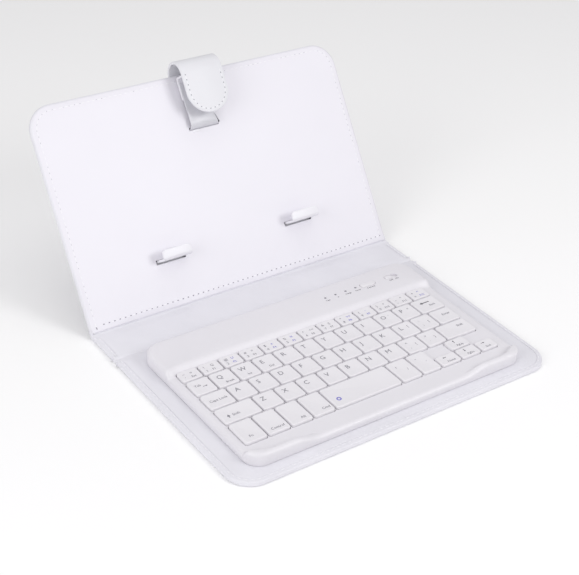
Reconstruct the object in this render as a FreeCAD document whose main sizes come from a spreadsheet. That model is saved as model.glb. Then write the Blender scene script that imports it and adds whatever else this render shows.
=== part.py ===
"""Keyboard folio for a small tablet or large phone.

A leather-covered folio of three stiffened panels (base, spine and lid) lies open on a table.
A slim wireless keyboard is taped to the base panel.  The lid leans back on a fold-out leg and
carries two fixed lower hooks, one sliding upper hook on an elastic band, and a closing strap.

Row frame: millimetres, +X to the right of the person typing, +Y from the front edge to the
spine, +Z up.  The origin is the centre of the base panel's underside.
Lid pieces are drawn in the lid's own frame (X right, Y up the lid, Z out of its lining) and
placed with lid_frame().
"""
import FreeCAD, Part
import math
import os

import Sketcher
from FreeCAD import Placement, Rotation, Vector

doc = FreeCAD.newDocument("KeyboardFolio")
sheet = doc.addObject("Spreadsheet::Sheet", "D")

DIMENSIONS = (
    # panels
    ("panel_width", 200.0, "width of the three panels"),
    ("base_front", -59.5, "front edge of the base panel"),
    ("base_back", 59.0, "back edge of the base panel"),
    ("panel_corner", 14.0, "radius of the free corners"),
    ("fold_corner", 1.0, "radius of the corners beside a fold"),
    ("cover_sheet", 0.9, "thickness of the outer leather"),
    ("lining_sheet", 0.6, "thickness of the lining"),
    ("base_thick", 3.0, "thickness of the base and spine panels"),
    ("hem_width", 3.0, "turned hem round each panel"),
    ("board_play", 0.2, "gap between a board and its hem"),
    ("spine_front", 61.8, "front edge of the spine panel"),
    ("spine_back", 83.9, "back edge of the spine panel"),
    # lid
    ("lid_length", 124.4, "height of the lid up its own plane"),
    ("lid_thick", 3.2, "thickness of the lid"),
    ("lid_foot_y", 85.6, "lower edge of the lining, along Y"),
    ("lid_foot_z", 3.59, "lower edge of the lining, above the table"),
    ("lid_rise", 55.5, "angle of the lid above the table, degrees"),
    # fold-out leg behind the lid
    ("leg_hinge_up", 78.0, "leg hinge, up the lid"),
    ("leg_hinge_deep", 2.2, "leg hinge, behind the lining"),
    ("leg_open", 52.0, "opening angle of the leg, degrees"),
    ("leg_width", 56.0, "width of the leg"),
    ("leg_thick", 2.0, "thickness of the leg"),
    ("leg_tip", 22.0, "radius of the leg's lower corners"),
    ("leg_play", 1.0, "gap between the leg and its window"),
    # phone hooks
    ("hook_width", 18.0, "width of each lower hook"),
    ("hook_left_x", -41.8, "middle of the left lower hook"),
    ("hook_right_x", 44.1, "middle of the right lower hook"),
    ("hook_up", 26.4, "lower face of the hook arm, up the lid"),
    ("hook_wall", 1.4, "wall of a hook"),
    ("hook_reach", 9.6, "outer face of the hook lip from the lining"),
    ("hook_lip_top", 32.4, "top of the hook lip, up the lid"),
    ("hook_lip_corner", 2.2, "corner radius of the lip"),
    ("foot_length", 12.0, "hook foot inside the lid, up the lid"),
    ("foot_width", 20.0, "hook foot inside the lid, across"),
    ("foot_thick", 1.3, "thickness of the hook foot"),
    ("slit_play", 0.3, "gap round an arm in its slit"),
    # upper hook and its elastic
    ("clip_x", 1.8, "middle of the upper hook and band"),
    ("clip_width", 19.8, "width of the upper hook and band"),
    ("clip_low", 109.5, "lower end of the hook's back plate"),
    ("clip_top", 122.8, "top of the upper hook"),
    ("clip_back", 1.05, "back of the hook plate from the lining"),
    ("clip_plate", 1.0, "thickness of the hook plate"),
    ("clip_reach", 9.8, "outer face of the upper hook lip"),
    ("clip_lip_low", 116.0, "lower end of the upper hook lip"),
    ("clip_wall", 1.2, "wall of the upper hook"),
    ("band_thick", 0.8, "thickness of the elastic band"),
    ("band_gap", 0.15, "gap between band and lining"),
    ("band_rest", 0.05, "gap between band and lining inside the lid"),
    ("band_lap", 5.0, "length of the band under the hook's plate"),
    ("band_slit", 92.3, "lower edge of the band slit, up the lid"),
    ("band_slit_height", 1.4, "height of the band slit"),
    ("band_root", 82.0, "anchored end of the band inside the lid"),
    # closing strap
    ("strap_x", 3.5, "middle of the strap"),
    ("strap_width", 26.4, "width of the strap"),
    ("strap_thick", 1.6, "thickness of the strap"),
    ("strap_root_low", 92.0, "lower end of the sewn strap root"),
    ("strap_bend_up", 123.2, "centre of the strap bend, up the lid"),
    ("strap_bend_out", 8.5, "outer radius of the strap bend"),
    ("strap_round", 13.0, "corner radius of the tab's tip"),
    ("strap_tip", 98.8, "tip of the hanging tab, up the lid"),
    ("magnet_radius", 5.0, "radius of the strap magnet"),
    ("magnet_thick", 0.7, "thickness of the strap magnet"),
    ("magnet_up", 110.0, "middle of the strap magnet, up the lid"),
    ("magnet_play", 0.1, "gap round the strap magnet"),
    ("magnet_skin", 0.05, "gap over and under the strap magnet"),
    ("catch_y", -47.0, "middle of the catch plate in the base"),
    ("catch_radius", 6.0, "radius of the catch plate"),
    # keyboard case
    ("kb_left", -88.0, "left side of the keyboard"),
    ("kb_right", 85.8, "right side of the keyboard"),
    ("kb_front", -51.2, "front of the keyboard"),
    ("kb_back", 54.4, "back of the keyboard"),
    ("kb_corner", 9.0, "corner radius of the keyboard"),
    ("kb_bottom", 3.3, "underside of the keyboard"),
    ("kb_seam", 4.3, "seam between tray and frame"),
    ("kb_deck", 7.3, "top of the deck round the keys"),
    ("kb_skin", 1.2, "thickness of the frame's top skin"),
    ("kb_wall", 1.8, "thickness of the frame's side walls"),
    ("bar_top", 10.6, "top of the rear bar"),
    ("bar_front", 29.8, "front edge of the bar's top"),
    ("bar_foot", 27.9, "foot of the bar's sloping face"),
    ("bar_wall", 1.5, "thickness of the bar's sloping face, along Y"),
    ("cut_past", 1.0, "how far a cutting block runs past a face"),
    ("bump_top", 10.2, "top of the front corner rests"),
    ("bump_long", 40.0, "length of a front corner rest"),
    ("bump_flat", 26.0, "full-height length of a corner rest"),
    ("bump_deep", 3.4, "depth of a corner rest"),
    ("bump_bite", 0.5, "how far a corner rest sinks into the deck"),
    ("sheet_inset", 2.8, "distance of plate and domes from the keyboard's edge"),
    ("sheet_back", 28.9, "back edge of the support plate and dome sheet"),
    ("tape_margin", 12.0, "distance of the tape from the keyboard's edge"),
    # keys
    ("key_left", -83.25, "left edge of the key block"),
    ("key_right", 78.4, "right edge of the key block"),
    ("key_gap", 1.0, "gap between neighbouring keys"),
    ("key_top", 8.8, "top of a key"),
    ("key_low", 6.45, "underside of a key"),
    ("key_corner", 0.8, "corner radius of a key"),
    ("key_edge", 0.3, "chamfer round a key's top"),
    ("window_play", 0.2, "gap between a key and its window"),
    ("number_front", 18.5, "front edge of the number row"),
    ("number_depth", 8.6, "depth of a number key"),
    ("letter_front", 5.4, "front edge of the upper letter row"),
    ("row_pitch", 13.15, "pitch of the letter rows"),
    ("bottom_front", -38.4, "front edge of the bottom row"),
    ("letter_pitch", 13.25, "pitch of the letter keys"),
    ("number_pitch", 12.51, "pitch of the number keys"),
    ("bottom_pitch", 13.55, "pitch of the modifier keys"),
    ("q_left", -70.1, "left edge of the Q key"),
    ("a_left", -67.7, "left edge of the A key"),
    ("z_left", -60.9, "left edge of the Z key"),
    ("slash_left", 13.5, "left edge of the slash key"),
    ("quote_left", 27.05, "left edge of the quote key"),
    ("arrow_left", 39.85, "left edge of the left arrow key"),
    ("arrow_mid", 53.7, "left edge of the up and down arrow keys"),
    ("arrow_right", 67.4, "left edge of the right arrow key"),
    ("dome_radius", 2.2, "radius of a key dome"),
    ("dome_top", 1.3, "radius of a key dome's top"),
    ("dome_high", 0.25, "height of a key dome"),
    ("dome_bite", 0.05, "how far a dome sinks into the membrane"),
    ("plate_thick", 0.4, "thickness of the steel support plate"),
    ("membrane_thick", 0.3, "thickness of the switch membrane"),
    # electronics in the rear bar
    ("battery_long", 62.0, "battery length"),
    ("battery_deep", 17.0, "battery depth"),
    ("battery_thick", 4.2, "battery thickness"),
    ("battery_corner", 1.0, "corner radius of the battery"),
    ("battery_x", -40.0, "middle of the battery"),
    ("bar_mid_y", 42.3, "middle of the rear bar"),
    ("board_left", 8.0, "left edge of the circuit board"),
    ("board_right", 82.0, "right edge of the circuit board"),
    ("board_deep", 14.0, "depth of the circuit board"),
    ("board_thick", 0.8, "thickness of the circuit board"),
    ("board_low", 5.6, "underside of the circuit board"),
    ("socket_wide", 7.6, "width of the charging socket"),
    ("socket_high", 2.7, "height of the charging socket"),
    ("socket_deep", 5.2, "depth of the charging socket"),
    ("socket_wall", 0.3, "wall of the charging socket"),
    ("lamp_first_x", 22.8, "first indicator lamp"),
    ("lamp_pitch", 7.0, "pitch of the indicator lamps"),
    ("lamp_y", 43.2, "row of indicator lamps"),
    ("lamp_radius", 0.6, "radius of an indicator lamp"),
    ("lamp_long", 2.0, "length of an indicator lamp"),
    ("lamp_play", 0.05, "gap round an indicator lamp"),
    ("button_x", 52.0, "middle of the pairing button"),
    ("button_y", 42.6, "middle of the pairing button and switch"),
    ("button_long", 10.0, "length of the pairing button"),
    ("button_deep", 3.6, "depth of the pairing button"),
    ("button_round", 1.75, "corner radius of the pairing button"),
    ("button_play", 0.15, "gap round the pairing button"),
    ("button_foot", 1.0, "depth of the button under the bar's skin"),
    ("button_proud", 0.3, "height of the button and the knob over the bar"),
    ("switch_x", 68.6, "middle of the power switch's slot"),
    ("switch_slot", 9.0, "length of the power switch's slot"),
    ("switch_deep", 3.4, "depth of the power switch's slot"),
    ("knob_long", 4.4, "length of the power switch's knob"),
    ("knob_start", 0.5, "gap at the off end of the switch's slot"),
    ("knob_play", 0.2, "gap beside the knob in its slot"),
    ("knob_foot", 2.0, "depth of the knob under the bar's top"),
)
SUB_PARTS = {}
CLOSE = 1e-6      # two lengths nearer than this are the same
FAR = 1e9         # beyond every piece
LAMPS = 4         # indicator lamps on the rear bar


def set_cell(row, alias, value, note):
    """Write one driving dimension with its meaning beside it."""
    sheet.set(f"A{row}", note)
    sheet.set(f"B{row}", str(value))
    sheet.setAlias(f"B{row}", alias)


def dim(alias):
    """The value of a driving dimension."""
    return float(sheet.get(alias))


def lid_frame(up=0.0, out=0.0):
    """Placement of a point of the lid: X across, Y up the lid, Z out of its lining."""
    turn = Rotation(Vector(1, 0, 0), dim("lid_rise"))
    foot = Vector(0, dim("lid_foot_y"), dim("lid_foot_z"))
    return Placement(foot + turn.multVec(Vector(0, up, out)), turn)


def leg_reach():
    """Length of the leg from its hinge to the table, from the lid's lean."""
    hinge = lid_frame(dim("leg_hinge_up"), -dim("leg_hinge_deep")).Base
    lean = math.radians(dim("leg_open") - (90.0 - dim("lid_rise")))
    half = dim("leg_thick") / 2
    return (hinge.z - half * math.sin(lean)) / math.cos(lean)


for row, (alias, value, note) in enumerate(DIMENSIONS, start=1):
    set_cell(row, alias, value, note)
doc.recompute()
set_cell(len(DIMENSIONS) + 1, "leg_reach", round(leg_reach(), 3), "leg from hinge to foot")
doc.recompute()


# ---------------------------------------------------------------- building blocks
def bind(thing, **formulas):
    """Bind properties to formulas of the sheet's cells."""
    for name, formula in formulas.items():
        thing.setExpression(name.replace("__", "."), formula)


def keep(thing, label):
    """Name an object as one sub-part of the folio."""
    thing.Label = label
    SUB_PARTS[label] = thing
    return thing


def box(name, x, y, z, long, deep, high):
    """A block from its low corner and its three sizes, all formulas."""
    block = doc.addObject("Part::Box", name)
    bind(block, Length=long, Width=deep, Height=high)
    bind(block, Placement__Base__x=x, Placement__Base__y=y, Placement__Base__z=z)
    return block


def cylinder(name, x, y, z, radius, high):
    """An upright cylinder from the centre of its lower face."""
    drum = doc.addObject("Part::Cylinder", name)
    bind(drum, Radius=radius, Height=high)
    bind(drum, Placement__Base__x=x, Placement__Base__y=y, Placement__Base__z=z)
    return drum


def cut(name, base, tool):
    """The base without the tool."""
    result = doc.addObject("Part::Cut", name)
    result.Base = base
    result.Tool = tool
    return result


def fuse(name, pieces):
    """Pieces joined into one solid."""
    result = doc.addObject("Part::MultiFuse", name)
    result.Shapes = pieces
    return result


def group(name, pieces):
    """Separate solids kept together."""
    result = doc.addObject("Part::Compound", name)
    result.Links = pieces
    return result


def upright_edges(shape, low_y=-FAR, high_y=FAR):
    """Numbers of the straight edges along Z whose middle lies between two Y values."""
    found = []
    for number, edge in enumerate(shape.Edges, start=1):
        run = edge.Vertexes[-1].Point - edge.Vertexes[0].Point
        upright = abs(run.x) + abs(run.y) < CLOSE < abs(run.z)
        if upright and low_y <= edge.CenterOfMass.y <= high_y:
            found.append(number)
    return found


def top_edges(shape):
    """Numbers of the edges that lie in a shape's highest plane."""
    top = shape.BoundBox.ZMax
    return [n for n, edge in enumerate(shape.Edges, start=1) if edge.BoundBox.ZMin > top - CLOSE]


def rounded(name, base, radius):
    """A block with its upright edges rounded."""
    base.recompute()
    result = doc.addObject("Part::Fillet", name)
    result.Base = base
    result.Edges = [(n, radius, radius) for n in upright_edges(base.Shape)]
    return result


def new_body(label):
    """An empty design body that is one sub-part."""
    return keep(doc.addObject("PartDesign::Body", label), label)


def new_sketch(body, name, role="XY_Plane", lift="0"):
    """A sketch on one of the body's own origin planes, lifted along its normal."""
    sketch = body.newObject("Sketcher::SketchObject", name)
    plane = next(f for f in body.Origin.OriginFeatures if f.Role == role)
    sketch.AttachmentSupport = (plane, [""])
    sketch.MapMode = "FlatFace"
    bind(sketch, AttachmentOffset__Base__z=lift)
    return sketch


def draw_outline(sketch, corners):
    """A closed outline of straight lines; every corner is a pair of formulas."""
    count = len(corners)
    turn = 2 * math.pi / count
    start = [Vector(math.cos(n * turn), math.sin(n * turn), 0) for n in range(count)]
    for n in range(count):
        sketch.addGeometry(Part.LineSegment(start[n], start[(n + 1) % count]), False)
    for n in range(count):
        sketch.addConstraint(Sketcher.Constraint("Coincident", n, 2, (n + 1) % count, 1))
    for n, corner in enumerate(corners):
        for kind, formula, now in zip(("DistanceX", "DistanceY"), corner, start[n]):
            number = sketch.addConstraint(Sketcher.Constraint(kind, -1, 1, n, 1, now))
            sketch.setExpression(f"Constraints[{number}]", formula)


def rectangle(left, right, low, high):
    """The four corners of an upright rectangle."""
    return [(left, low), (right, low), (right, high), (left, high)]


def pad(body, sketch, length, midplane=False):
    """Raise a sketch into a solid."""
    feature = body.newObject("PartDesign::Pad", sketch.Name + "Pad")
    feature.Profile = sketch
    feature.Midplane = midplane
    bind(feature, Length=length)
    doc.recompute()
    return feature


def pocket(body, sketch, depth):
    """Sink a sketch into a body, and see that it cuts."""
    before = body.Shape.Volume
    feature = body.newObject("PartDesign::Pocket", sketch.Name + "Pocket")
    feature.Profile = sketch
    bind(feature, Length=depth)
    doc.recompute()
    if body.Shape.Volume > before - CLOSE:
        feature.Reversed = not feature.Reversed
        doc.recompute()
    if body.Shape.Volume > before - CLOSE:
        raise RuntimeError(sketch.Name + " cuts nothing")
    return feature


def sink(body, name, lift, outline, depth):
    """Sink one more outline into a body from a given height."""
    sketch = new_sketch(body, name, "XY_Plane", lift)
    draw_outline(sketch, outline)
    return pocket(body, sketch, depth)


def soften(body, radius, low_y=-FAR, high_y=FAR):
    """Round the upright corners of a body between two Y values."""
    tip = body.Tip
    numbers = upright_edges(tip.Shape, low_y, high_y)
    feature = body.newObject("PartDesign::Fillet", tip.Name + "Corners")
    feature.Base = (tip, [f"Edge{n}" for n in numbers])
    bind(feature, Radius=radius)
    doc.recompute()
    return feature


# ---------------------------------------------------------------- panels
def panel_plate(body, front, back, low, thick, free, inset="0"):
    """A panel-shaped plate set in from the edges: large radii on its free corners."""
    side = f"D.panel_width/2 - ({inset})"
    sketch = new_sketch(body, body.Name + "Outline", "XY_Plane", low)
    draw_outline(sketch, rectangle(f"-({side})", side, f"{front} + {inset}", f"{back} - ({inset})"))
    pad(body, sketch, thick)
    bounds = body.Shape.BoundBox
    middle = (bounds.YMin + bounds.YMax) / 2
    for end, span in (("front", {"high_y": middle}), ("back", {"low_y": middle})):
        soften(body, f"D.panel_corner - ({inset})" if end == free else "D.fold_corner", **span)
    return body


def panel_cover(label, front, back, thick, free):
    """Outer leather with a turned hem: a plate, and the dish cut out of it for the board."""
    plate = doc.addObject("PartDesign::Body", label + "Plate")
    dish = doc.addObject("PartDesign::Body", label + "Dish")
    panel_plate(plate, front, back, "0", thick, free)
    panel_plate(dish, front, back, "D.cover_sheet", thick, free, "D.hem_width")
    keep(cut(label + "Dished", plate, dish), label)
    return plate, dish


def panel_insert(label, front, back, low, thick, free):
    """A board or lining that lies inside the hem of a cover."""
    inset = "D.hem_width + D.board_play"
    return panel_plate(new_body(label), front, back, low, thick, free, inset)


BASE_BOARD = "(D.base_thick - D.lining_sheet - D.cover_sheet)"
BASE_LINING_LOW = "D.base_thick - D.lining_sheet"


def build_base():
    """Base panel: leather dish, board with its steel catch plate, and lining."""
    span = ("D.base_front", "D.base_back")
    panel_cover("base_cover", *span, "D.base_thick", "front")
    board = panel_insert("base_board", *span, "D.cover_sheet", BASE_BOARD, "front")
    panel_insert("base_lining", *span, BASE_LINING_LOW, "D.lining_sheet", "front")
    room = "(D.catch_radius + D.board_play)"
    seat = rectangle(f"D.strap_x - {room}", f"D.strap_x + {room}",
                     f"D.catch_y - {room}", f"D.catch_y + {room}")
    sink(board, "CatchSeat", BASE_LINING_LOW, seat, BASE_BOARD)
    plate = cylinder("CatchDisc", "D.strap_x", "D.catch_y", "D.cover_sheet",
                     "D.catch_radius", BASE_BOARD)
    keep(plate, "catch_plate")


def build_spine():
    """Spine panel between the two folds."""
    span = ("D.spine_front", "D.spine_back")
    panel_cover("spine_cover", *span, "D.base_thick", None)
    panel_insert("spine_board", *span, "D.cover_sheet", BASE_BOARD, None)
    panel_insert("spine_lining", *span, BASE_LINING_LOW, "D.lining_sheet", None)


# ---------------------------------------------------------------- lid
def slit(middle, wide, low, high):
    """Outline of an opening with play round what passes through it."""
    return rectangle(f"{middle} - {wide}/2 - D.slit_play", f"{middle} + {wide}/2 + D.slit_play",
                     f"{low} - D.slit_play", f"{high} + D.slit_play")


def build_lid():
    """Cover, board and lining of the lid, with openings for the hooks, band and leg."""
    span = ("0", "D.lid_length")
    lining_low = "D.lid_thick - D.lining_sheet"
    board_thick = "(D.lid_thick - D.lining_sheet - D.cover_sheet)"
    plate, dish = panel_cover("lid_cover", *span, "D.lid_thick", "back")
    board = panel_insert("lid_board", *span, "D.cover_sheet", board_thick, "back")
    lining = panel_insert("lid_lining", *span, lining_low, "D.lining_sheet", "back")

    half = "D.leg_width/2 + D.leg_play"
    window = rectangle(f"-({half})", half, "D.leg_hinge_up - D.leg_reach - D.leg_play",
                       "D.leg_hinge_up + D.leg_play + D.leg_thick/2")
    sink(plate, "LegWindowInCover", "D.cover_sheet", window, "D.cover_sheet")
    sink(board, "LegWindowInBoard", lining_low, window, board_thick)

    for side in ("left", "right"):
        middle = f"D.hook_{side}_x"
        seat = slit(middle, "D.foot_width", "D.hook_up - D.foot_length/2",
                    "D.hook_up + D.foot_length/2")
        sink(board, f"HookSeat_{side}", lining_low, seat, board_thick)
        opening = slit(middle, "D.hook_width", "D.hook_up", "D.hook_up + D.hook_wall")
        sink(lining, f"HookSlit_{side}", "D.lid_thick", opening, "D.lining_sheet")

    slit_top = "D.band_slit + D.band_slit_height"
    opening = slit("D.clip_x", "D.clip_width", "D.band_slit", slit_top)
    sink(lining, "BandSlit", "D.lid_thick", opening, "D.lining_sheet")
    groove = slit("D.clip_x", "D.clip_width", "D.band_root", slit_top)
    sink(board, "BandGroove", lining_low, groove, "D.band_thick + D.band_gap")
    for piece in (plate, dish, board, lining):
        piece.Placement = lid_frame(0.0, -dim("lid_thick"))


def build_leg():
    """Stiff leg that swings out of the lid's back and stands on the table."""
    body = new_body("kickstand_leg")
    outline = new_sketch(body, "LegOutline", "XY_Plane", "-D.leg_thick/2")
    draw_outline(outline, rectangle("-D.leg_width/2", "D.leg_width/2", "-D.leg_reach", "0"))
    pad(body, outline, "D.leg_thick")
    soften(body, "D.leg_tip", high_y=-dim("leg_reach") / 2)
    hinge = lid_frame(dim("leg_hinge_up"), -dim("leg_hinge_deep"))
    swing = Placement(Vector(), Rotation(Vector(1, 0, 0), dim("leg_open")))
    body.Placement = hinge.multiply(swing)


def side_profile(name, corners, width, middle):
    """A piece of the lid with one profile right across it, drawn as up and out pairs."""
    body = doc.addObject("PartDesign::Body", name)
    sketch = new_sketch(body, name + "Profile", "YZ_Plane", middle)
    draw_outline(sketch, corners)
    pad(body, sketch, width, midplane=True)
    body.Placement = lid_frame()
    return body


def build_lower_hooks():
    """Two fixed hooks: a foot inside the lid, an arm through the lining and a turned-up lip."""
    foot_top = "-D.lining_sheet - D.board_play"
    foot_low = f"{foot_top} - D.foot_thick"
    lip_in = "D.hook_reach - D.hook_wall"
    arm_top = "D.hook_up + D.hook_wall"
    hooks = []
    for side in ("left", "right"):
        profile = [("D.hook_up - D.foot_length/2", foot_low),
                   ("D.hook_up + D.foot_length/2", foot_low),
                   ("D.hook_up + D.foot_length/2", foot_top),
                   (arm_top, foot_top),
                   (arm_top, lip_in),
                   ("D.hook_lip_top", lip_in),
                   ("D.hook_lip_top", "D.hook_reach"),
                   ("D.hook_up", "D.hook_reach"),
                   ("D.hook_up", foot_top),
                   ("D.hook_up - D.foot_length/2", foot_top)]
        hooks.append(side_profile(f"LowerHook_{side}", profile, "D.hook_width",
                                  f"D.hook_{side}_x"))
    keep(group("LowerHooks", hooks), "bottom_hooks")


def build_upper_hook():
    """Sliding hook for the phone's upper edge, and the elastic band that pulls it down."""
    plate_out = "D.clip_back + D.clip_plate"
    lip_in = "D.clip_reach - D.clip_wall"
    bridge_low = "D.clip_top - D.clip_wall"
    hook = [("D.clip_low", "D.clip_back"), ("D.clip_top", "D.clip_back"),
            ("D.clip_top", "D.clip_reach"), ("D.clip_lip_low", "D.clip_reach"),
            ("D.clip_lip_low", lip_in), (bridge_low, lip_in),
            (bridge_low, plate_out), ("D.clip_low", plate_out)]
    keep(side_profile("TopHook", hook, "D.clip_width", "D.clip_x"), "top_hook")

    band_in = "D.band_gap"
    band_out = f"({band_in} + D.band_thick)"
    inside_out = "-D.lining_sheet - D.band_rest"
    inside_in = f"{inside_out} - D.band_thick"
    slit_low = "D.band_slit + D.slit_play"
    slit_high = f"{slit_low} + D.band_thick"
    band_end = "D.clip_low + D.band_lap"
    band = [("D.band_root", inside_in), (slit_high, inside_in), (slit_high, band_in),
            (band_end, band_in), (band_end, band_out),
            (slit_low, band_out), (slit_low, inside_out), ("D.band_root", inside_out)]
    width = "D.clip_width - 2*D.slit_play"
    keep(side_profile("TopBand", band, width, "D.clip_x"), "top_band")


def bend_out():
    """Height of the strap bend's centre over the lining."""
    return dim("strap_bend_out") - dim("lid_thick") - dim("strap_thick")


def build_strap():
    """Closing strap: a band sewn to the lid's back and bent over its top edge, and a tab."""
    outer = "D.strap_bend_out"
    inner = "(D.strap_bend_out - D.strap_thick)"
    left = "D.strap_x - D.strap_width/2"
    right = "D.strap_x + D.strap_width/2"
    root = [("D.strap_root_low", "-D.lid_thick - D.strap_thick"),
            ("D.strap_bend_up", "-D.lid_thick - D.strap_thick"),
            ("D.strap_bend_up", "-D.lid_thick"), ("D.strap_root_low", "-D.lid_thick")]
    sewn = side_profile("StrapRoot", root, "D.strap_width", "D.strap_x")

    bend_centre = lid_frame(dim("strap_bend_up"), bend_out())
    bend = doc.addObject("PartDesign::Body", "StrapBend")
    section = new_sketch(bend, "BendSection")
    draw_outline(section, rectangle(left, right, inner, outer))
    turned = bend.newObject("PartDesign::Revolution", "BendTurn")
    turned.Profile = section
    turned.ReferenceAxis = (section, ["H_Axis"])
    turned.Midplane = True
    turned.Angle = 180
    bend.Placement = bend_centre
    keep(fuse("StrapBand", [sewn, bend]), "strap_band")

    tab = new_body("strap_tab")
    outline = new_sketch(tab, "TabOutline", "XY_Plane", inner)
    tab_length = "(D.strap_bend_up - D.strap_tip)"
    draw_outline(outline, rectangle(left, right, f"-{tab_length}", "0"))
    pad(tab, outline, "D.strap_thick")
    soften(tab, "D.strap_round", high_y=-dim("strap_thick"))
    middle = "(D.magnet_up - D.strap_bend_up)"
    room = "(D.magnet_radius + D.magnet_play)"
    seat = rectangle(f"D.strap_x - {room}", f"D.strap_x + {room}",
                     f"{middle} - {room}", f"{middle} + {room}")
    sink(tab, "MagnetSeat", inner, seat, "D.magnet_thick + 2*D.magnet_skin")
    tab.Placement = bend_centre

    magnet = new_body("strap_magnet")
    disc = new_sketch(magnet, "MagnetOutline", "XY_Plane",
                      f"{inner} + D.magnet_skin")
    disc.addGeometry(Part.Circle(Vector(1, -1, 0), Vector(0, 0, 1), 1), False)
    for kind, place, formula in (("Radius", (0,), "D.magnet_radius"),
                                 ("DistanceX", (-1, 1, 0, 3), "D.strap_x"),
                                 ("DistanceY", (-1, 1, 0, 3), middle)):
        number = disc.addConstraint(Sketcher.Constraint(kind, *place, 1.0))
        disc.setExpression(f"Constraints[{number}]", formula)
    pad(magnet, disc, "D.magnet_thick")
    magnet.Placement = bend_centre


# ---------------------------------------------------------------- keyboard keys
def rows_of_keys():
    """Every key as name, left, front, width and depth formulas, row by row."""
    keys = []

    def add(name, left, front, wide, deep):
        keys.append((name, left, front, wide, deep))

    def run(names, first, pitch, front, deep):
        for n, name in enumerate(names):
            add(name, f"{first} + {n}*{pitch}", front, f"{pitch} - D.key_gap", deep)

    def to_right(name, left, front, deep):
        add(name, left, front, f"D.key_right - ({left})", deep)

    run([f"number_{n}" for n in range(13)], "D.key_left", "D.number_pitch", "D.number_front",
        "D.number_depth")
    letter_deep = "D.row_pitch - D.key_gap"
    rows = (("Tab", "QWERTYUIOP", [], "D.q_left", "Backspace"),
            ("Caps", "ASDFGHJKL", ["semicolon"], "D.a_left", "Enter"),
            ("ShiftLeft", "ZXCVBNM", ["comma", "period"], "D.z_left", "ShiftRight"))
    for index, (first, letters, signs, left, last) in enumerate(rows):
        front = f"D.letter_front - {index}*D.row_pitch"
        add(first, "D.key_left", front, f"{left} - D.key_gap - D.key_left", letter_deep)
        names = list(letters) + signs
        run(names, left, "D.letter_pitch", front, letter_deep)
        to_right(last, f"{left} + {len(names)}*D.letter_pitch", front, letter_deep)

    front = "D.bottom_front"
    top = "(D.letter_front - 2*D.row_pitch - D.key_gap)"
    full = f"{top} - D.bottom_front"
    half = f"({full} - D.key_gap)/2"
    run(["Fn", "Control", "Alt", "Command"], "D.key_left", "D.bottom_pitch", front, full)
    space = "D.key_left + 4*D.bottom_pitch"
    add("Space", space, front, f"D.slash_left - D.key_gap - ({space})", full)
    for name, left, after in (("slash", "D.slash_left", "D.quote_left"),
                              ("quote", "D.quote_left", "D.arrow_left")):
        add(name, left, front, f"{after} - D.key_gap - {left}", full)
    add("ArrowLeft", "D.arrow_left", front, "D.arrow_mid - D.key_gap - D.arrow_left", half)
    middle = "D.arrow_right - D.key_gap - D.arrow_mid"
    add("ArrowDown", "D.arrow_mid", front, middle, half)
    add("ArrowUp", "D.arrow_mid", f"{front} + {half} + D.key_gap", middle, half)
    to_right("ArrowRight", "D.arrow_right", front, half)
    return keys


GROUPED_KEYS = {
    "modifier_keys": ("Tab", "Caps", "ShiftLeft", "ShiftRight", "Fn", "Control", "Alt",
                      "Command"),
    "symbol_keys": ("semicolon", "comma", "period", "slash", "quote", "ArrowLeft",
                    "ArrowDown", "ArrowUp", "ArrowRight"),
    "number_keys": tuple(f"number_{n}" for n in range(13)),
}


MEMBRANE_LOW = "D.kb_seam + D.plate_thick"


def key_cap(name, left, front, wide, deep):
    """One keycap: a low block with rounded corners and a chamfered top."""
    block = box("Block_" + name, left, front, "D.key_low", wide, deep, "D.key_top - D.key_low")
    soft = rounded("Round_" + name, block, dim("key_corner"))
    soft.recompute()
    cap = doc.addObject("Part::Chamfer", "Cap_" + name)
    cap.Base = soft
    edge = dim("key_edge")
    cap.Edges = [(n, edge, edge) for n in top_edges(soft.Shape)]
    return cap


def key_window(name, left, front, wide, deep):
    """The opening of one key in the frame's top skin."""
    play = "D.window_play"
    return box("Window_" + name, f"{left} - {play}", f"{front} - {play}",
               "D.kb_deck - 2*D.kb_skin", f"{wide} + 2*{play}", f"{deep} + 2*{play}",
               "3*D.kb_skin")


def key_dome(name, left, front, wide, deep):
    """The rubber dome under one key."""
    dome = doc.addObject("Part::Cone", "Dome_" + name)
    bind(dome, Radius1="D.dome_radius", Radius2="D.dome_top", Height="D.dome_high")
    bind(dome, Placement__Base__x=f"{left} + ({wide})/2",
         Placement__Base__y=f"{front} + ({deep})/2",
         Placement__Base__z=f"{MEMBRANE_LOW} + D.membrane_thick - D.dome_bite")
    return dome


def build_keys():
    """Fifty-nine keycaps: letters and long keys on their own, the rest in three groups."""
    keys = rows_of_keys()
    caps = {key[0]: key_cap(*key) for key in keys}
    grouped = set()
    for label, names in GROUPED_KEYS.items():
        keep(group(label + "Group", [caps[name] for name in names]), label)
        grouped.update(names)
    for name, cap in caps.items():
        if name not in grouped:
            keep(cap, f"key_{name}")
    domes = [key_dome(*key) for key in keys]
    windows = group("WindowGroup", [key_window(*key) for key in keys])
    return domes, windows


# ---------------------------------------------------------------- keyboard case
def footprint(name, low, high, inset="0", less=0.0):
    """A block over the keyboard's whole outline with rounded upright corners."""
    block = box(name + "Block", f"D.kb_left + {inset}", f"D.kb_front + {inset}", low,
                f"D.kb_right - D.kb_left - 2*({inset})",
                f"D.kb_back - D.kb_front - 2*({inset})", f"{high} - ({low})")
    return rounded(name, block, dim("kb_corner") - less)


def across(label, corners, left, right):
    """A bar with one front-to-back profile, drawn as along and height pairs."""
    body = doc.addObject("PartDesign::Body", label)
    sketch = new_sketch(body, label + "Profile", "YZ_Plane", left)
    draw_outline(sketch, corners)
    pad(body, sketch, f"{right} - ({left})")
    return body


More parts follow.
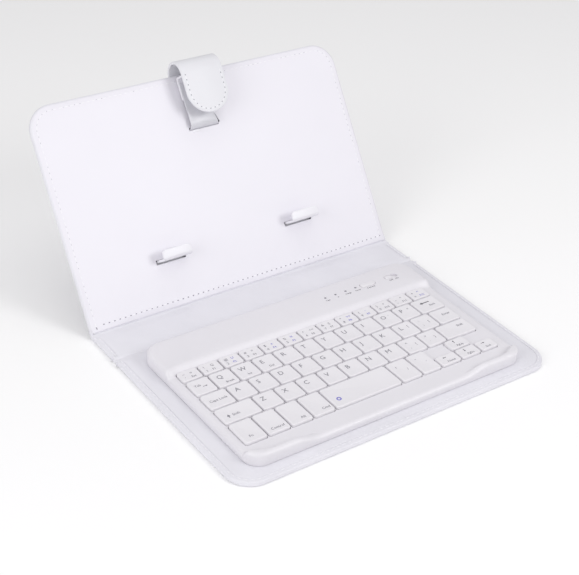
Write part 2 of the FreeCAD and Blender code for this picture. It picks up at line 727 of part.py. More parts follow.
def corner_rest(side):
    """A low ridge on the deck's front corner, fading towards the middle."""
    body = doc.addObject("PartDesign::Body", f"CornerRest_{side}")
    sketch = new_sketch(body, f"RestProfile_{side}", "XZ_Plane", "-D.kb_front - D.bump_deep")
    edge, sign = ("D.kb_left", "+") if side == "left" else ("D.kb_right", "-")
    low = "D.kb_deck - D.bump_bite"
    draw_outline(sketch, [(edge, low), (f"{edge} {sign} D.bump_long", low),
                          (f"{edge} {sign} D.bump_flat", "D.bump_top"), (edge, "D.bump_top")])
    pad(body, sketch, "D.bump_deep")
    return body


def build_frame(windows):
    """Upper frame: deck with key windows, rear bar, corner rests and side walls."""
    profile = [("D.kb_front", "D.kb_seam"), ("D.kb_back", "D.kb_seam"),
               ("D.kb_back", "D.bar_top"), ("D.bar_front", "D.bar_top"),
               ("D.bar_foot", "D.kb_deck"), ("D.kb_front", "D.kb_deck")]
    slab = across("FrameSlab", profile, "D.kb_left", "D.kb_right")
    raised = fuse("FrameRaised", [slab, corner_rest("left"), corner_rest("right")])
    outer = doc.addObject("Part::Common", "FrameOuter")
    outer.Base = raised
    outer.Tool = footprint("FrameOutline", "D.kb_seam", "D.bar_top + D.cut_past")

    inner_left = "D.kb_left + D.kb_wall"
    inner_right = "D.kb_right - D.kb_wall"
    front = "D.kb_front + D.kb_wall"
    back = "D.kb_back - D.kb_wall"
    open_low = "D.kb_seam - D.cut_past"
    under_bar = "D.bar_top - D.kb_skin"
    under_deck = "D.kb_deck - D.kb_skin"
    hollow = [(front, open_low), (back, open_low), (back, under_bar),
              ("D.bar_front + D.bar_wall", under_bar), ("D.bar_foot + D.bar_wall", under_deck),
              (front, under_deck)]
    cavity_bar = across("FrameCavity", hollow, inner_left, inner_right)
    cavity = doc.addObject("Part::Common", "FrameHollow")
    cavity.Base = cavity_bar
    cavity.Tool = footprint("HollowOutline", open_low, "D.bar_top", "D.kb_wall", dim("kb_wall"))
    skin = ("D.bar_top - 2*D.kb_skin", "3*D.kb_skin")
    button_hole = box("ButtonHole", "D.button_x - D.button_long/2 - D.button_play",
                      "D.button_y - D.button_deep/2 - D.button_play", skin[0],
                      "D.button_long + 2*D.button_play", "D.button_deep + 2*D.button_play",
                      skin[1])
    switch_hole = box("SwitchHole", "D.switch_x - D.switch_slot/2",
                      "D.button_y - D.switch_deep/2", skin[0], "D.switch_slot",
                      "D.switch_deep", skin[1])
    lamp_holes = [cylinder(f"LampHole{n}", f"D.lamp_first_x + {n}*D.lamp_pitch", "D.lamp_y",
                           skin[0], "D.lamp_radius + D.lamp_play", skin[1])
                  for n in range(LAMPS)]
    socket_hole = box("SocketHole", "D.kb_right - 2*D.kb_wall",
                      "D.bar_mid_y - D.socket_wide/2 - D.board_play",
                      f"{SOCKET_LOW} - D.board_play", "3*D.kb_wall",
                      "D.socket_wide + 2*D.board_play", "D.socket_high + 2*D.board_play")
    openings = group("FrameOpenings", [cavity, button_hole, switch_hole, socket_hole]
                     + lamp_holes)
    keep(cut("FrameCut", cut("FrameHollowed", outer, openings), windows), "keyboard_frame")


SOCKET_LOW = "(D.board_low + D.board_thick)"


def build_tray(domes):
    """Lower tray, its tape, the steel support plate and the rubber dome sheet."""
    tray_top = "D.kb_seam"
    keep(footprint("TrayOutline", "D.kb_bottom", tray_top), "keyboard_tray")
    margin = "D.tape_margin"
    tape = box("TapeSheet", f"D.kb_left + {margin}", f"D.kb_front + {margin}", "D.base_thick",
               f"D.kb_right - D.kb_left - 2*{margin}", f"D.kb_back - D.kb_front - 2*{margin}",
               "D.kb_bottom - D.base_thick")
    keep(tape, "keyboard_tape")
    inset = "D.sheet_inset"
    depth = "D.sheet_back - D.kb_front - D.sheet_inset"
    sheets = []
    for name, low, thick in (("Support", tray_top, "D.plate_thick"),
                             ("Membrane", MEMBRANE_LOW, "D.membrane_thick")):
        block = box(name + "Block", f"D.kb_left + {inset}", f"D.kb_front + {inset}", low,
                    f"D.kb_right - D.kb_left - 2*{inset}", depth, thick)
        sheets.append(rounded(name + "Sheet", block, dim("kb_corner") / 2))
    keep(sheets[0], "support_plate")
    keep(fuse("DomeSheet", [sheets[1]] + domes), "dome_sheet")


def build_electronics():
    """What the rear bar holds: battery, circuit board, socket, switch, button and lamps."""
    battery = box("BatteryBlock", "D.battery_x - D.battery_long/2",
                  "D.bar_mid_y - D.battery_deep/2", "D.kb_seam + D.board_play", "D.battery_long",
                  "D.battery_deep", "D.battery_thick")
    keep(rounded("BatteryCell", battery, dim("battery_corner")), "battery")
    board = box("BoardBlock", "D.board_left", "D.bar_mid_y - D.board_deep/2", "D.board_low",
                "D.board_right - D.board_left", "D.board_deep", "D.board_thick")
    keep(board, "circuit_board")

    shell = box("SocketShell", "D.kb_right - D.socket_deep", "D.bar_mid_y - D.socket_wide/2",
                SOCKET_LOW, "D.socket_deep", "D.socket_wide", "D.socket_high")
    mouth = box("SocketMouth", "D.kb_right - D.socket_deep + 2*D.socket_wall",
                "D.bar_mid_y - D.socket_wide/2 + D.socket_wall", f"{SOCKET_LOW} + D.socket_wall",
                "D.socket_deep", "D.socket_wide - 2*D.socket_wall",
                "D.socket_high - 2*D.socket_wall")
    keep(cut("SocketCut", shell, mouth), "charging_socket")

    button = box("ButtonBlock", "D.button_x - D.button_long/2",
                 "D.button_y - D.button_deep/2", "D.bar_top - D.kb_skin - D.button_foot",
                 "D.button_long", "D.button_deep", "D.kb_skin + D.button_foot + D.button_proud")
    keep(rounded("ButtonCap", button, dim("button_round")), "pairing_button")

    start = "D.switch_x - D.switch_slot/2 + D.knob_start"
    knob = box("KnobBlock", start, "D.button_y - D.switch_deep/2 + D.knob_play",
               "D.bar_top - D.knob_foot", "D.knob_long", "D.switch_deep - 2*D.knob_play",
               "D.knob_foot + D.button_proud")
    keep(knob, "power_switch")
    lamps = [cylinder(f"Lamp{n}", f"D.lamp_first_x + {n}*D.lamp_pitch", "D.lamp_y",
                      "D.bar_top - D.lamp_long", "D.lamp_radius", "D.lamp_long")
             for n in range(LAMPS)]
    keep(group("LampGroup", lamps), "indicator_lamps")


# ---------------------------------------------------------------- checks and files
def check_document():
    """Stop if an object has failed or a sub-part has no valid solid."""
    doc.recompute()
    for thing in doc.Objects:
        if {"Invalid", "Error"} & set(thing.State):
            raise RuntimeError(f"{thing.Label} failed: {thing.State}")
    for label, thing in SUB_PARTS.items():
        shape = thing.Shape
        if shape.isNull() or not shape.isValid() or not shape.Solids:
            raise RuntimeError(label + " has no valid solid")


def write_parts():
    """Write every sub-part to its own file and print its size."""
    os.makedirs("parts", exist_ok=True)
    for label, thing in SUB_PARTS.items():
        thing.Shape.exportStep(f"parts/{label}.step")
        bounds = thing.Shape.BoundBox
        print(f"{label}: {len(thing.Shape.Solids)} solids, {thing.Shape.Volume:.1f} mm3, "
              f"x {bounds.XMin:.2f} {bounds.XMax:.2f}, y {bounds.YMin:.2f} {bounds.YMax:.2f}, "
              f"z {bounds.ZMin:.2f} {bounds.ZMax:.2f}")


build_base()
build_spine()
build_lid()
build_leg()
build_lower_hooks()
build_upper_hook()
build_strap()
domes, windows = build_keys()
build_frame(windows)
build_tray(domes)
build_electronics()
check_document()
write_parts()
print(len(SUB_PARTS), "sub-parts")
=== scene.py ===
# %% [markdown]
# # A white keyboard folio
# This lesson dresses a imported CAD model of a keyboard folio: three leather-covered panels, a slim
# keyboard, two phone hooks, an elastic band and a closing strap.  The CAD model is loaded first and
# never moved.  Every piece made here lies where a CAD piece lies; most ride on the same body, while
# the floor, the folds, the band and the strap ride on none.

# %% Load the frame
import math
import bmesh
import bpy
from mathutils import Matrix, Vector, noise


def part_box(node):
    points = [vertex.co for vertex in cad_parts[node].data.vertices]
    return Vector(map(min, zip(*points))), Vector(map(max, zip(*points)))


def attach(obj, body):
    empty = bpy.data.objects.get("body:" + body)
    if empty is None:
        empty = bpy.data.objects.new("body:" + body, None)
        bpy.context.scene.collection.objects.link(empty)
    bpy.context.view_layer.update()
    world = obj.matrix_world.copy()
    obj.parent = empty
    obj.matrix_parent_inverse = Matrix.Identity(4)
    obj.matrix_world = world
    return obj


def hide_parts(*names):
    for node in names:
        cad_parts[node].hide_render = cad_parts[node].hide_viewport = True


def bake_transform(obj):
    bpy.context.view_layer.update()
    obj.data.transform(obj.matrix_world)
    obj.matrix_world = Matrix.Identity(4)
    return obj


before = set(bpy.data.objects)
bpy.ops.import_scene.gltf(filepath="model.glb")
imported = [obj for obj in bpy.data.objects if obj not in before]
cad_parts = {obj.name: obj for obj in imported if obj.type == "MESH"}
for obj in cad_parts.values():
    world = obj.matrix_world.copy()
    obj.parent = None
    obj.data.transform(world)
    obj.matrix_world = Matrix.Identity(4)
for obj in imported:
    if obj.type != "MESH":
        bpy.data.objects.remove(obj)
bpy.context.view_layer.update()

# %% [markdown]
# ## Units and the lid's own frame
# Shapes are drawn in millimetres and shrunk to metres when they are finished.  The lid leans back,
# so its pieces are drawn flat (x across, y up the lid, z out of its lining) and then leaned back by
# one matrix, which is how a person would work on a lid that lies on the bench.

# %% Units and frames
MM = 0.001
LID_RISE = math.radians(55.5)
LID_FOOT = Vector((0.0, 85.6, 3.59))
LID = Matrix.Translation(LID_FOOT) @ Matrix.Rotation(LID_RISE, 4, "X")
FLAT = Matrix.Identity(4)


def box_mm(node):
    """Lowest and highest corner of a CAD node, in millimetres."""
    low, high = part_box(node)
    return Vector(low) / MM, Vector(high) / MM


print("lid foot", LID_FOOT, "keyboard", box_mm("keyboard_frame"))

# %% [markdown]
# ## Camera
# The view is a long lens, about 85 mm on a 36 mm sensor, from the front left and a third of the way
# up.  The camera is turned a little about its own axis, as a hand-held one is.

# %% Camera
scene = bpy.context.scene
VIEW_TURN = math.radians(-36.8115)
VIEW_RISE = math.radians(32.5488)
VIEW_ROLL = math.radians(3.5579)
VIEW_DISTANCE = 781.328
VIEW_TARGET = Vector((21.6787, 75.3925, 0.0))
SENSOR_MM = 36.0
LENS_MM = 84.53


def place_in_scene(name, data):
    """Make an object of a mesh, a light or a camera, and link it to the scene."""
    made = bpy.data.objects.new(name, data)
    scene.collection.objects.link(made)
    return made


back = Vector((math.sin(VIEW_TURN) * math.cos(VIEW_RISE),
               -math.cos(VIEW_TURN) * math.cos(VIEW_RISE), math.sin(VIEW_RISE)))
right = Vector((math.cos(VIEW_TURN), math.sin(VIEW_TURN), 0.0))
up = back.cross(right)
right_rolled = math.cos(VIEW_ROLL) * right + math.sin(VIEW_ROLL) * up
up_rolled = math.cos(VIEW_ROLL) * up - math.sin(VIEW_ROLL) * right
camera = place_in_scene("camera", bpy.data.cameras.new("camera"))
camera.data.lens = LENS_MM
camera.data.sensor_width = SENSOR_MM
turn = Matrix((right_rolled, up_rolled, back)).transposed().to_4x4()
camera.matrix_world = Matrix.Translation((VIEW_TARGET + VIEW_DISTANCE * back) * MM) @ turn
scene.camera = camera
print("camera at", camera.location)

# %% [markdown]
# ## Light
# White goods are lit by a bright room: an even white sky, a soft panel in front on the right, which
# makes the soft shadows of the hooks and the bright front edges of the keys, a second one on the
# left, which lights the keyboard's side walls, and a very large one overhead.

# %% Light
scene.view_settings.view_transform = "Standard"
world = bpy.data.worlds.new("white_room")
world.use_nodes = True
sky = world.node_tree.nodes["Background"]
sky.inputs["Color"].default_value = (0.995, 0.985, 1.0, 1.0)
sky.inputs["Strength"].default_value = 0.52
scene.world = world


def soft_panel(name, place, aim, size, watts):
    """A square area light, all places in millimetres."""
    light = bpy.data.lights.new(name, "AREA")
    light.size = size * MM
    light.energy = watts
    lamp = place_in_scene(name, light)
    lamp.location = Vector(place) * MM
    lamp.rotation_euler = (Vector(aim) - Vector(place)).to_track_quat("-Z", "Y").to_euler()


soft_panel("front_panel", (420, -700, 620), (0, 40, 20), 380, 2.9)
soft_panel("left_panel", (-900, -200, 450), (0, 40, 20), 600, 3.2)
soft_panel("top_panel", (100, 100, 1500), (0, 60, 0), 1600, 5.5)
print("sky and three soft panels are lit")

# %% [markdown]
# ## Colours and nodes
# A paint chart gives colours as sRGB hex values, and the shader wants linear light, so one function
# turns one into the other.  One more function adds a node with its settings and its links.


# %% Colour and node helpers
def linear(code):
    """An sRGB hex value as linear red, green, blue and alpha."""
    parts = [int(code[n:n + 2], 16) / 255 for n in (1, 3, 5)]
    return tuple(c / 12.92 if c <= 0.04045 else ((c + 0.055) / 1.055) ** 2.4 for c in parts) + (1.0,)


def add_node(tree, kind, settings=None, **links):
    """One node: settings by property or socket name, links by input name from another socket."""
    node = tree.nodes.new(kind)
    for name, value in (settings or {}).items():
        if hasattr(node, name):
            setattr(node, name, value)
        else:
            node.inputs[name].default_value = value
    for name, source in links.items():
        tree.links.new(source, node.inputs[int(name[1:]) if name[0] == "_" else name])
    return node


def new_material(name, roughness, **sockets):
    """A material with one Principled shader; uniform values go straight on its sockets."""
    material = bpy.data.materials.new(name)
    material.use_nodes = True
    shader = material.node_tree.nodes["Principled BSDF"]
    shader.inputs["Roughness"].default_value = roughness
    for socket, value in sockets.items():
        shader.inputs[socket.replace("_", " ")].default_value = value
    return material, material.node_tree, shader


def tint(tree, shader, fac, low, high):
    """Colour the shader between two hex values by a pattern."""
    ramp = add_node(tree, "ShaderNodeValToRGB", Fac=fac)
    ramp.color_ramp.elements[0].color = linear(low)
    ramp.color_ramp.elements[1].color = linear(high)
    tree.links.new(ramp.outputs["Color"], shader.inputs["Base Color"])
    return ramp


def relief(tree, shader, height, depth_mm, strength, under=None):
    """Raise a pattern as bump of a real depth, on top of a coarser one where there is one."""
    links = {"Height": height}
    if under is not None:
        links["Normal"] = under
    bump = add_node(tree, "ShaderNodeBump", {"Strength": strength, "Distance": depth_mm * MM}, **links)
    tree.links.new(bump.outputs["Normal"], shader.inputs["Normal"])
    return bump.outputs["Normal"]


def per_mm(size_mm):
    """Texture scale, in repeats per metre, for a feature of a real size."""
    return 1.0 / (size_mm * MM)


print("white leather base colour:", linear("#E4E3EA"))

# %% [markdown]
# ## Leather
# The covers are polyurethane leather: a knitted cloth with a thin white skin, embossed by a roller
# with a fine pebble grain about 0.9 mm across.  The skin is satin, and where it has been rubbed it
# is a little smoother.  Cells give the pebbles, fine noise the pores, and slow noise the slight
# waves of a sheet that is glued over board.  Colour changes by a shade only.


# %% Leather finishes
def leather(name, dark, light, grain_mm, grain_depth, roughness):
    """Embossed white leather: pebbles, pores and slow waves."""
    material, tree, shader = new_material(name, roughness, Coat_Weight=0.06, Sheen_Weight=0.08)
    place = add_node(tree, "ShaderNodeTexCoord").outputs["Object"]
    waves = add_node(tree, "ShaderNodeTexNoise", {"Scale": per_mm(22), "Detail": 4.0}, Vector=place)
    pores = add_node(tree, "ShaderNodeTexNoise", {"Scale": per_mm(0.5), "Detail": 3.0}, Vector=place)
    cells = add_node(tree, "ShaderNodeTexVoronoi", {"feature": "DISTANCE_TO_EDGE",
                                                    "Scale": per_mm(grain_mm)}, Vector=place)
    round_cells = add_node(tree, "ShaderNodeMapRange", {"From Max": 0.25}, Value=cells.outputs["Distance"])
    tint(tree, shader, waves.outputs["Fac"], dark, light)
    rubbed = add_node(tree, "ShaderNodeMapRange", {"From Min": 0.3, "From Max": 0.7,
                                                   "To Min": roughness - 0.07, "To Max": roughness + 0.07},
                      Value=waves.outputs["Fac"])
    tree.links.new(rubbed.outputs["Result"], shader.inputs["Roughness"])
    wavy = relief(tree, shader, waves.outputs["Fac"], 0.6, 0.6)
    grained = relief(tree, shader, round_cells.outputs["Result"], grain_depth, 0.5, wavy)
    relief(tree, shader, pores.outputs["Fac"], 0.03, 0.4, grained)
    return material


OUTER_LEATHER = leather("embossed_pu_leather", "#DDDCE3", "#EAE9EF", 0.9, 0.05, 0.5)
STRAP_LEATHER = leather("strap_pu_leather", "#E0E0E5", "#E8E8EC", 0.7, 0.04, 0.48)

# %% [markdown]
# ## Lining
# The lid is lined with a very smooth coated cloth.  Its yarns run on the bias and can just be felt
# through the coating, so two crossed sets of bands at 45 degrees give the relief.  Real yarn is
# about 0.3 mm: it is drawn at 1.1 mm, which is as fine as can still be seen from arm's length.

# %% Lining finishes
YARN_MM = 1.1


def lining(name, dark, light, weave):
    """Coated cloth with a faint bias weave."""
    material, tree, shader = new_material(name, 0.42, Coat_Weight=0.1, Coat_Roughness=0.35)
    place = add_node(tree, "ShaderNodeTexCoord").outputs["Object"]
    cloud = add_node(tree, "ShaderNodeTexNoise", {"Scale": per_mm(60), "Detail": 2.0}, Vector=place)
    tint(tree, shader, cloud.outputs["Fac"], dark, light)
    under = None
    for angle in (45, -45):
        turned = add_node(tree, "ShaderNodeMapping", {"Rotation": (0, 0, math.radians(angle))},
                          Vector=place)
        bands = add_node(tree, "ShaderNodeTexWave", {"Scale": per_mm(YARN_MM) / math.tau,
                                                     "Distortion": 0.6, "Detail": 1.0},
                         Vector=turned.outputs["Vector"])
        under = relief(tree, shader, bands.outputs["Fac"], 0.02, weave, under)
    slow = add_node(tree, "ShaderNodeTexNoise", {"Scale": per_mm(35), "Detail": 3.0}, Vector=place)
    relief(tree, shader, slow.outputs["Fac"], 0.3, 0.25, under)
    return material


LID_LINING = lining("coated_bias_cloth", "#E8E6ED", "#ECEAF1", 0.16)

# %% [markdown]
# ## Moulded plastics
# The keyboard shell and the keys are injection-moulded ABS.  The shell's mould is spark-eroded, so
# it has an even fine stipple and a satin look; the keys have a finer stipple and read a touch
# cooler.  The hooks are nylon, polished in the mould.


# %% Plastic finishes
def moulded(name, dark, light, stipple_mm, depth, roughness, coat=0.0):
    """Moulded plastic with an even stipple and the faint flow clouds of the melt."""
    material, tree, shader = new_material(name, roughness, Coat_Weight=coat, IOR=1.53)
    place = add_node(tree, "ShaderNodeTexCoord").outputs["Object"]
    flow = add_node(tree, "ShaderNodeTexNoise", {"Scale": per_mm(30), "Detail": 2.0}, Vector=place)
    stipple = add_node(tree, "ShaderNodeTexNoise", {"Scale": per_mm(stipple_mm), "Detail": 2.0},
                       Vector=place)
    tint(tree, shader, flow.outputs["Fac"], dark, light)
    gloss = add_node(tree, "ShaderNodeMapRange", {"To Min": roughness - 0.05, "To Max": roughness + 0.05},
                     Value=stipple.outputs["Fac"])
    tree.links.new(gloss.outputs["Result"], shader.inputs["Roughness"])
    relief(tree, shader, stipple.outputs["Fac"], depth, 0.35)
    return material


SHELL_ABS = moulded("spark_eroded_abs", "#E2E0E5", "#E7E5EA", 0.35, 0.02, 0.38)
KEY_ABS = moulded("moulded_key_abs", "#E6E4E8", "#EBE9ED", 0.3, 0.015, 0.42)
HOOK_NYLON = moulded("polished_nylon", "#E9E8EE", "#EFEEF3", 0.6, 0.01, 0.4, coat=0.05)
LAMP_LENS = moulded("smoked_acrylic", "#77777F", "#8A8A92", 0.5, 0.004, 0.15, coat=0.4)
# Painted shade: the dome sheet under the keys is charcoal so the narrow gaps round the keys read dark.
GAP_SHADE_SILICONE = moulded("charcoal_silicone", "#26262A", "#303035", 0.4, 0.01, 0.6)
FOAM_TAPE = moulded("foam_tape", "#CFCFC9", "#DBDBD5", 0.25, 0.08, 0.9)
CELL_FILM = moulded("aluminised_film", "#8E9398", "#A2A6AB", 1.5, 0.03, 0.35)
SOLDER_MASK = moulded("solder_mask", "#1F5B33", "#2A6B3E", 1.2, 0.02, 0.35, coat=0.3)

# %% [markdown]
# ## Band, metal, board and print
# The band is a satin elastic: fine ribs run across it, and it shines along its length.  Its ribs
# are 0.5 mm apart.  The thread is twisted polyester.  The steel parts are nickel-plated and brushed.
# The board is grey pulp; in the lid it is painted near black, as painted shade seen through the
# lining's slits and the leg window.  The legends are pad-printed ink, which is flat in colour but
# breaks up a little at its edges.


# %% Band, metal, board and ink finishes
def ribbed(name, dark, light, rib_mm, axis):
    """Satin elastic or thread with fine ribs."""
    material, tree, shader = new_material(name, 0.34, Coat_Weight=0.25, Coat_Roughness=0.25,
                                          Anisotropic=0.4, Sheen_Weight=0.15)
    place = add_node(tree, "ShaderNodeTexCoord").outputs["Object"]
    cloud = add_node(tree, "ShaderNodeTexNoise", {"Scale": per_mm(6), "Detail": 3.0}, Vector=place)
    tint(tree, shader, cloud.outputs["Fac"], dark, light)
    ribs = add_node(tree, "ShaderNodeTexWave", {"bands_direction": axis, "Distortion": 0.3,
                                                "Scale": per_mm(rib_mm) / math.tau}, Vector=place)
    relief(tree, shader, ribs.outputs["Fac"], 0.05, 0.3)
    return material


def brushed(name, dark, light, line_mm):
    """Plated steel with brush lines along X."""
    material, tree, shader = new_material(name, 0.3, Metallic=1.0, Anisotropic=0.5)
    place = add_node(tree, "ShaderNodeTexCoord").outputs["Object"]
    long_lines = add_node(tree, "ShaderNodeMapping", {"Scale": (0.03, 1.0, 1.0)}, Vector=place)
    lines = add_node(tree, "ShaderNodeTexNoise", {"Scale": per_mm(line_mm), "Detail": 3.0},
                     Vector=long_lines.outputs["Vector"])
    tint(tree, shader, lines.outputs["Fac"], dark, light)
    relief(tree, shader, lines.outputs["Fac"], 0.01, 0.3)
    return material


def pulp(name, dark, light):
    """Felted fibres and specks: grey board, and the painted shade of the lid board and the needle holes."""
    material, tree, shader = new_material(name, 0.9)
    place = add_node(tree, "ShaderNodeTexCoord").outputs["Object"]
    specks = add_node(tree, "ShaderNodeTexNoise", {"Scale": per_mm(0.8), "Detail": 6.0}, Vector=place)
    tint(tree, shader, specks.outputs["Fac"], dark, light)
    relief(tree, shader, specks.outputs["Fac"], 0.06, 0.5)
    return material


def printed(name, dark, light):
    """Pad-printed ink with slightly uneven cover."""
    material, tree, shader = new_material(name, 0.55)
    place = add_node(tree, "ShaderNodeTexCoord").outputs["Object"]
    specks = add_node(tree, "ShaderNodeTexNoise", {"Scale": per_mm(0.4), "Detail": 2.0}, Vector=place)
    tint(tree, shader, specks.outputs["Fac"], dark, light)
    return material


SATIN_ELASTIC = ribbed("satin_elastic", "#CFCFD5", "#DEDEE3", 0.5, "X")
NICKEL_STEEL = brushed("nickel_plated_steel", "#8E8E92", "#B4B4B8", 0.2)
GREY_BOARD = pulp("grey_pulp_board", "#8F8B84", "#A6A29A")
# Painted shade: the lid's board is near black so the slits and the leg window read dark.
SLIT_SHADE_BOARD = pulp("black_faced_board", "#1E1D20", "#2C2B2F")
GREY_INK = printed("grey_pad_print", "#77767F", "#888790")
DARK_INK = printed("dark_pad_print", "#45444D", "#56555E")
BLUE_INK = printed("blue_pad_print", "#6765C2", "#7977CC")
WHITE_THREAD = ribbed("twisted_polyester_thread", "#EDECF1", "#F6F5F9", 0.4, "DIAGONAL")
# Painted shade: grey for the needle holes, which are only shallow cups.
NEEDLE_HOLE_SHADE = pulp("needle_hole_shadow", "#8C8B95", "#A09FA9")
print(len(bpy.data.materials), "finishes")

# %% [markdown]
# ## Finishing a piece
# A piece starts as a bmesh in millimetres.  One function turns it into an object: it shrinks the
# mesh to metres, leans it back if it belongs to the lid, marks the sharp edges so that flat faces
# stay flat, and seats the piece on its body; a piece given a blend is only baked where it stands.

# %% Finishing a piece
SHARP = math.radians(38)


def mesh_of(bm, name):
    """Turn a bmesh into a mesh and free it."""
    mesh = bpy.data.meshes.new(name)
    bm.to_mesh(mesh)
    bm.free()
    return mesh


def finish(name, bm, material, body, replaced=(), frame_of=FLAT, blend_to=None):
    """Make an object of a bmesh drawn in millimetres, and let it ride on a body; with blend_to it is only
    baked in place.
    """
    bmesh.ops.remove_doubles(bm, verts=bm.verts, dist=1e-4)
    bmesh.ops.recalc_face_normals(bm, faces=bm.faces)
    for face in bm.faces:
        face.smooth = True
    for edge in bm.edges:
        edge.smooth = not edge.is_manifold or edge.calc_face_angle() < SHARP
    bm.transform(Matrix.Scale(MM, 4) @ frame_of)
    piece = place_in_scene(name, mesh_of(bm, name))
    piece.data.materials.append(material)
    if blend_to:
        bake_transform(piece)
    else:
        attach(piece, body)
    if replaced:
        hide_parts(*replaced)
    return piece


print("edges sharper than", round(math.degrees(SHARP)), "degrees stay sharp")

# %% [markdown]
# ## Rounded blocks
# Nearly every part here starts as a flat outline with rounded corners that is extruded into a block.
# The outline is a one-square grid whose corner points are beveled, so the arcs come from the bevel
# and no point is worked out by hand.


# %% Rounded blocks
def rectangle(bm, left, right, front, back_y, height):
    """A flat rectangle at a height."""
    made = bmesh.ops.create_grid(bm, x_segments=1, y_segments=1, size=1.0)["verts"]
    grow = Matrix.Diagonal(((right - left) / 2, (back_y - front) / 2, 1.0, 1.0))
    shift = Matrix.Translation(((left + right) / 2, (front + back_y) / 2, height))
    bmesh.ops.transform(bm, matrix=shift @ grow, verts=made)
    return made


def round_corner(bm, verts, radius, segments=8):
    """Round some corners of a flat outline."""
    if radius > 0 and verts:
        bmesh.ops.bevel(bm, geom=verts, offset=radius, affect="VERTICES", segments=segments,
                        profile=0.5, material=-1)


def outline(bm, left, right, front, back_y, height, front_radius, back_radius, segments=10):
    """A flat face with rounded front and back corners."""
    before = set(bm.faces)
    made = rectangle(bm, left, right, front, back_y, height)
    middle = (front + back_y) / 2
    ends = [[v for v in made if v.co.y < middle], [v for v in made if v.co.y > middle]]
    for corners, radius in zip(ends, (front_radius, back_radius)):
        round_corner(bm, corners, radius, segments)
    return max((f for f in bm.faces if f not in before), key=lambda f: f.calc_area())


def raise_faces(bm, faces, depth):
    """Extrude flat faces straight up into a block, and return one of the moved faces."""
    made = bmesh.ops.extrude_face_region(bm, geom=faces)["geom"]
    bmesh.ops.translate(bm, verts=[g for g in made if isinstance(g, bmesh.types.BMVert)],
                        vec=(0, 0, depth))
    return next(g for g in made if isinstance(g, bmesh.types.BMFace))


def plate(bm, left, right, front, back_y, low, high, front_radius, back_radius, segments=10):
    """A rounded block; returns its top face."""
    face = outline(bm, left, right, front, back_y, low, front_radius, back_radius, segments)
    return raise_faces(bm, [face], high - low)


def soften(bm, edges, radius, segments=3):
    """Round some edges."""
    bmesh.ops.bevel(bm, geom=edges, offset=radius, affect="EDGES", segments=segments, profile=0.5,
                    material=-1, clamp_overlap=True)


def flat_edges(bm, height):
    """Edges of an outline at one height that turn a corner."""
    return [e for e in bm.edges if all(abs(v.co.z - height) < 1e-4 for v in e.verts)
            and len(e.link_faces) == 2 and e.calc_face_angle(0) > 0.5]


def join(bm, part):
    """Add one bmesh to another and free it."""
    mesh = mesh_of(part, "part")
    bm.from_mesh(mesh)
    bpy.data.meshes.remove(mesh)


print("blocks can be made")

# %% [markdown]
# ## Slicing and easing
# A flat face can only be bent where it has points, so it is first sliced by evenly spaced planes.
# Slopes are blended with a smooth step, because a mould or a folded sheet has no sharp change.


# %% Slicing and easing
def slice_up(bm, axis, places, within=None):
    """Cut faces by planes across one axis, so that they can be shaped."""
    normal = Vector([float(n == axis) for n in range(3)])
    for place in places:
        faces = [f for f in bm.faces if within is None or within(f.calc_center_median())]
        parts = faces + list({e for f in faces for e in f.edges}) + list({v for f in faces for v in f.verts})
        bmesh.ops.bisect_plane(bm, geom=parts, plane_co=normal * place, plane_no=normal, dist=1e-5)


def steps(first, last, pitch):
    """Evenly spaced places between two limits."""
    count = max(1, round((last - first) / pitch))
    return [first + (last - first) * n / count for n in range(1, count)]


def ease(value):
    """A smooth step from 0 to 1."""
    value = min(max(value, 0.0), 1.0)
    return value * value * (3 - 2 * value)


print("a third of the way eases to", round(ease(1 / 3), 3))

# %% [markdown]
# ## Openings
# Windows and slits are cut with a boolean whose result is kept, because one cutter can hold sixty
# blocks.  The exact solver leaves clean edges, which a small bevel can then soften.


# %% Openings
def cut_away(piece, cutter_bm):
    """Cut closed blocks, drawn in millimetres, out of a finished piece."""
    bmesh.ops.recalc_face_normals(cutter_bm, faces=cutter_bm.faces)
    cutter_bm.transform(Matrix.Scale(MM, 4))
    cutter = place_in_scene("cutter", mesh_of(cutter_bm, "cutter"))
    boolean = piece.modifiers.new("openings", "BOOLEAN")
    boolean.operation = "DIFFERENCE"
    boolean.object = cutter
    boolean.solver = "EXACT"
    graph = bpy.context.evaluated_depsgraph_get()
    whole = bpy.data.meshes.new_from_object(piece.evaluated_get(graph))
    piece.modifiers.clear()
    old, piece.data = piece.data, whole
    bpy.data.meshes.remove(old)
    bpy.data.objects.remove(cutter)


print("openings can be cut")

# %% [markdown]
# ## Keyboard shell
# The shell is one moulding: a shallow tray turned upside down.  A rounded block gives its outline
# and its soft rim.  It is then cut into strips where the rear bar and the two corner rests rise, and
# those strips are lifted along smooth steps, because a mould for such a part has no sharp inner
# corners.

# %% Sizes of the keyboard shell
SHELL_LOW, SHELL_HIGH = box_mm("keyboard_frame")
DECK = 7.3
RIM_RADIUS = 2.2
SHELL_CORNER = 9.0
SHELL_SKIN, SIDE_WALL = 1.2, 1.8
BAR_FOOT, BAR_FRONT = 26.6, 31.0
BAR_RISE = SHELL_HIGH.z - DECK
REST_RISE = 2.9
REST_DEEP, REST_CORNER_DEEP = 3.0, 3.5
REST_SLOPE, REST_CORNER_SLOPE = 1.1, 2.0
REST_FLAT, REST_END = 26.0, 41.0
shell_middle = (SHELL_LOW.x + SHELL_HIGH.x) / 2
shell_half = (SHELL_HIGH.x - SHELL_LOW.x) / 2


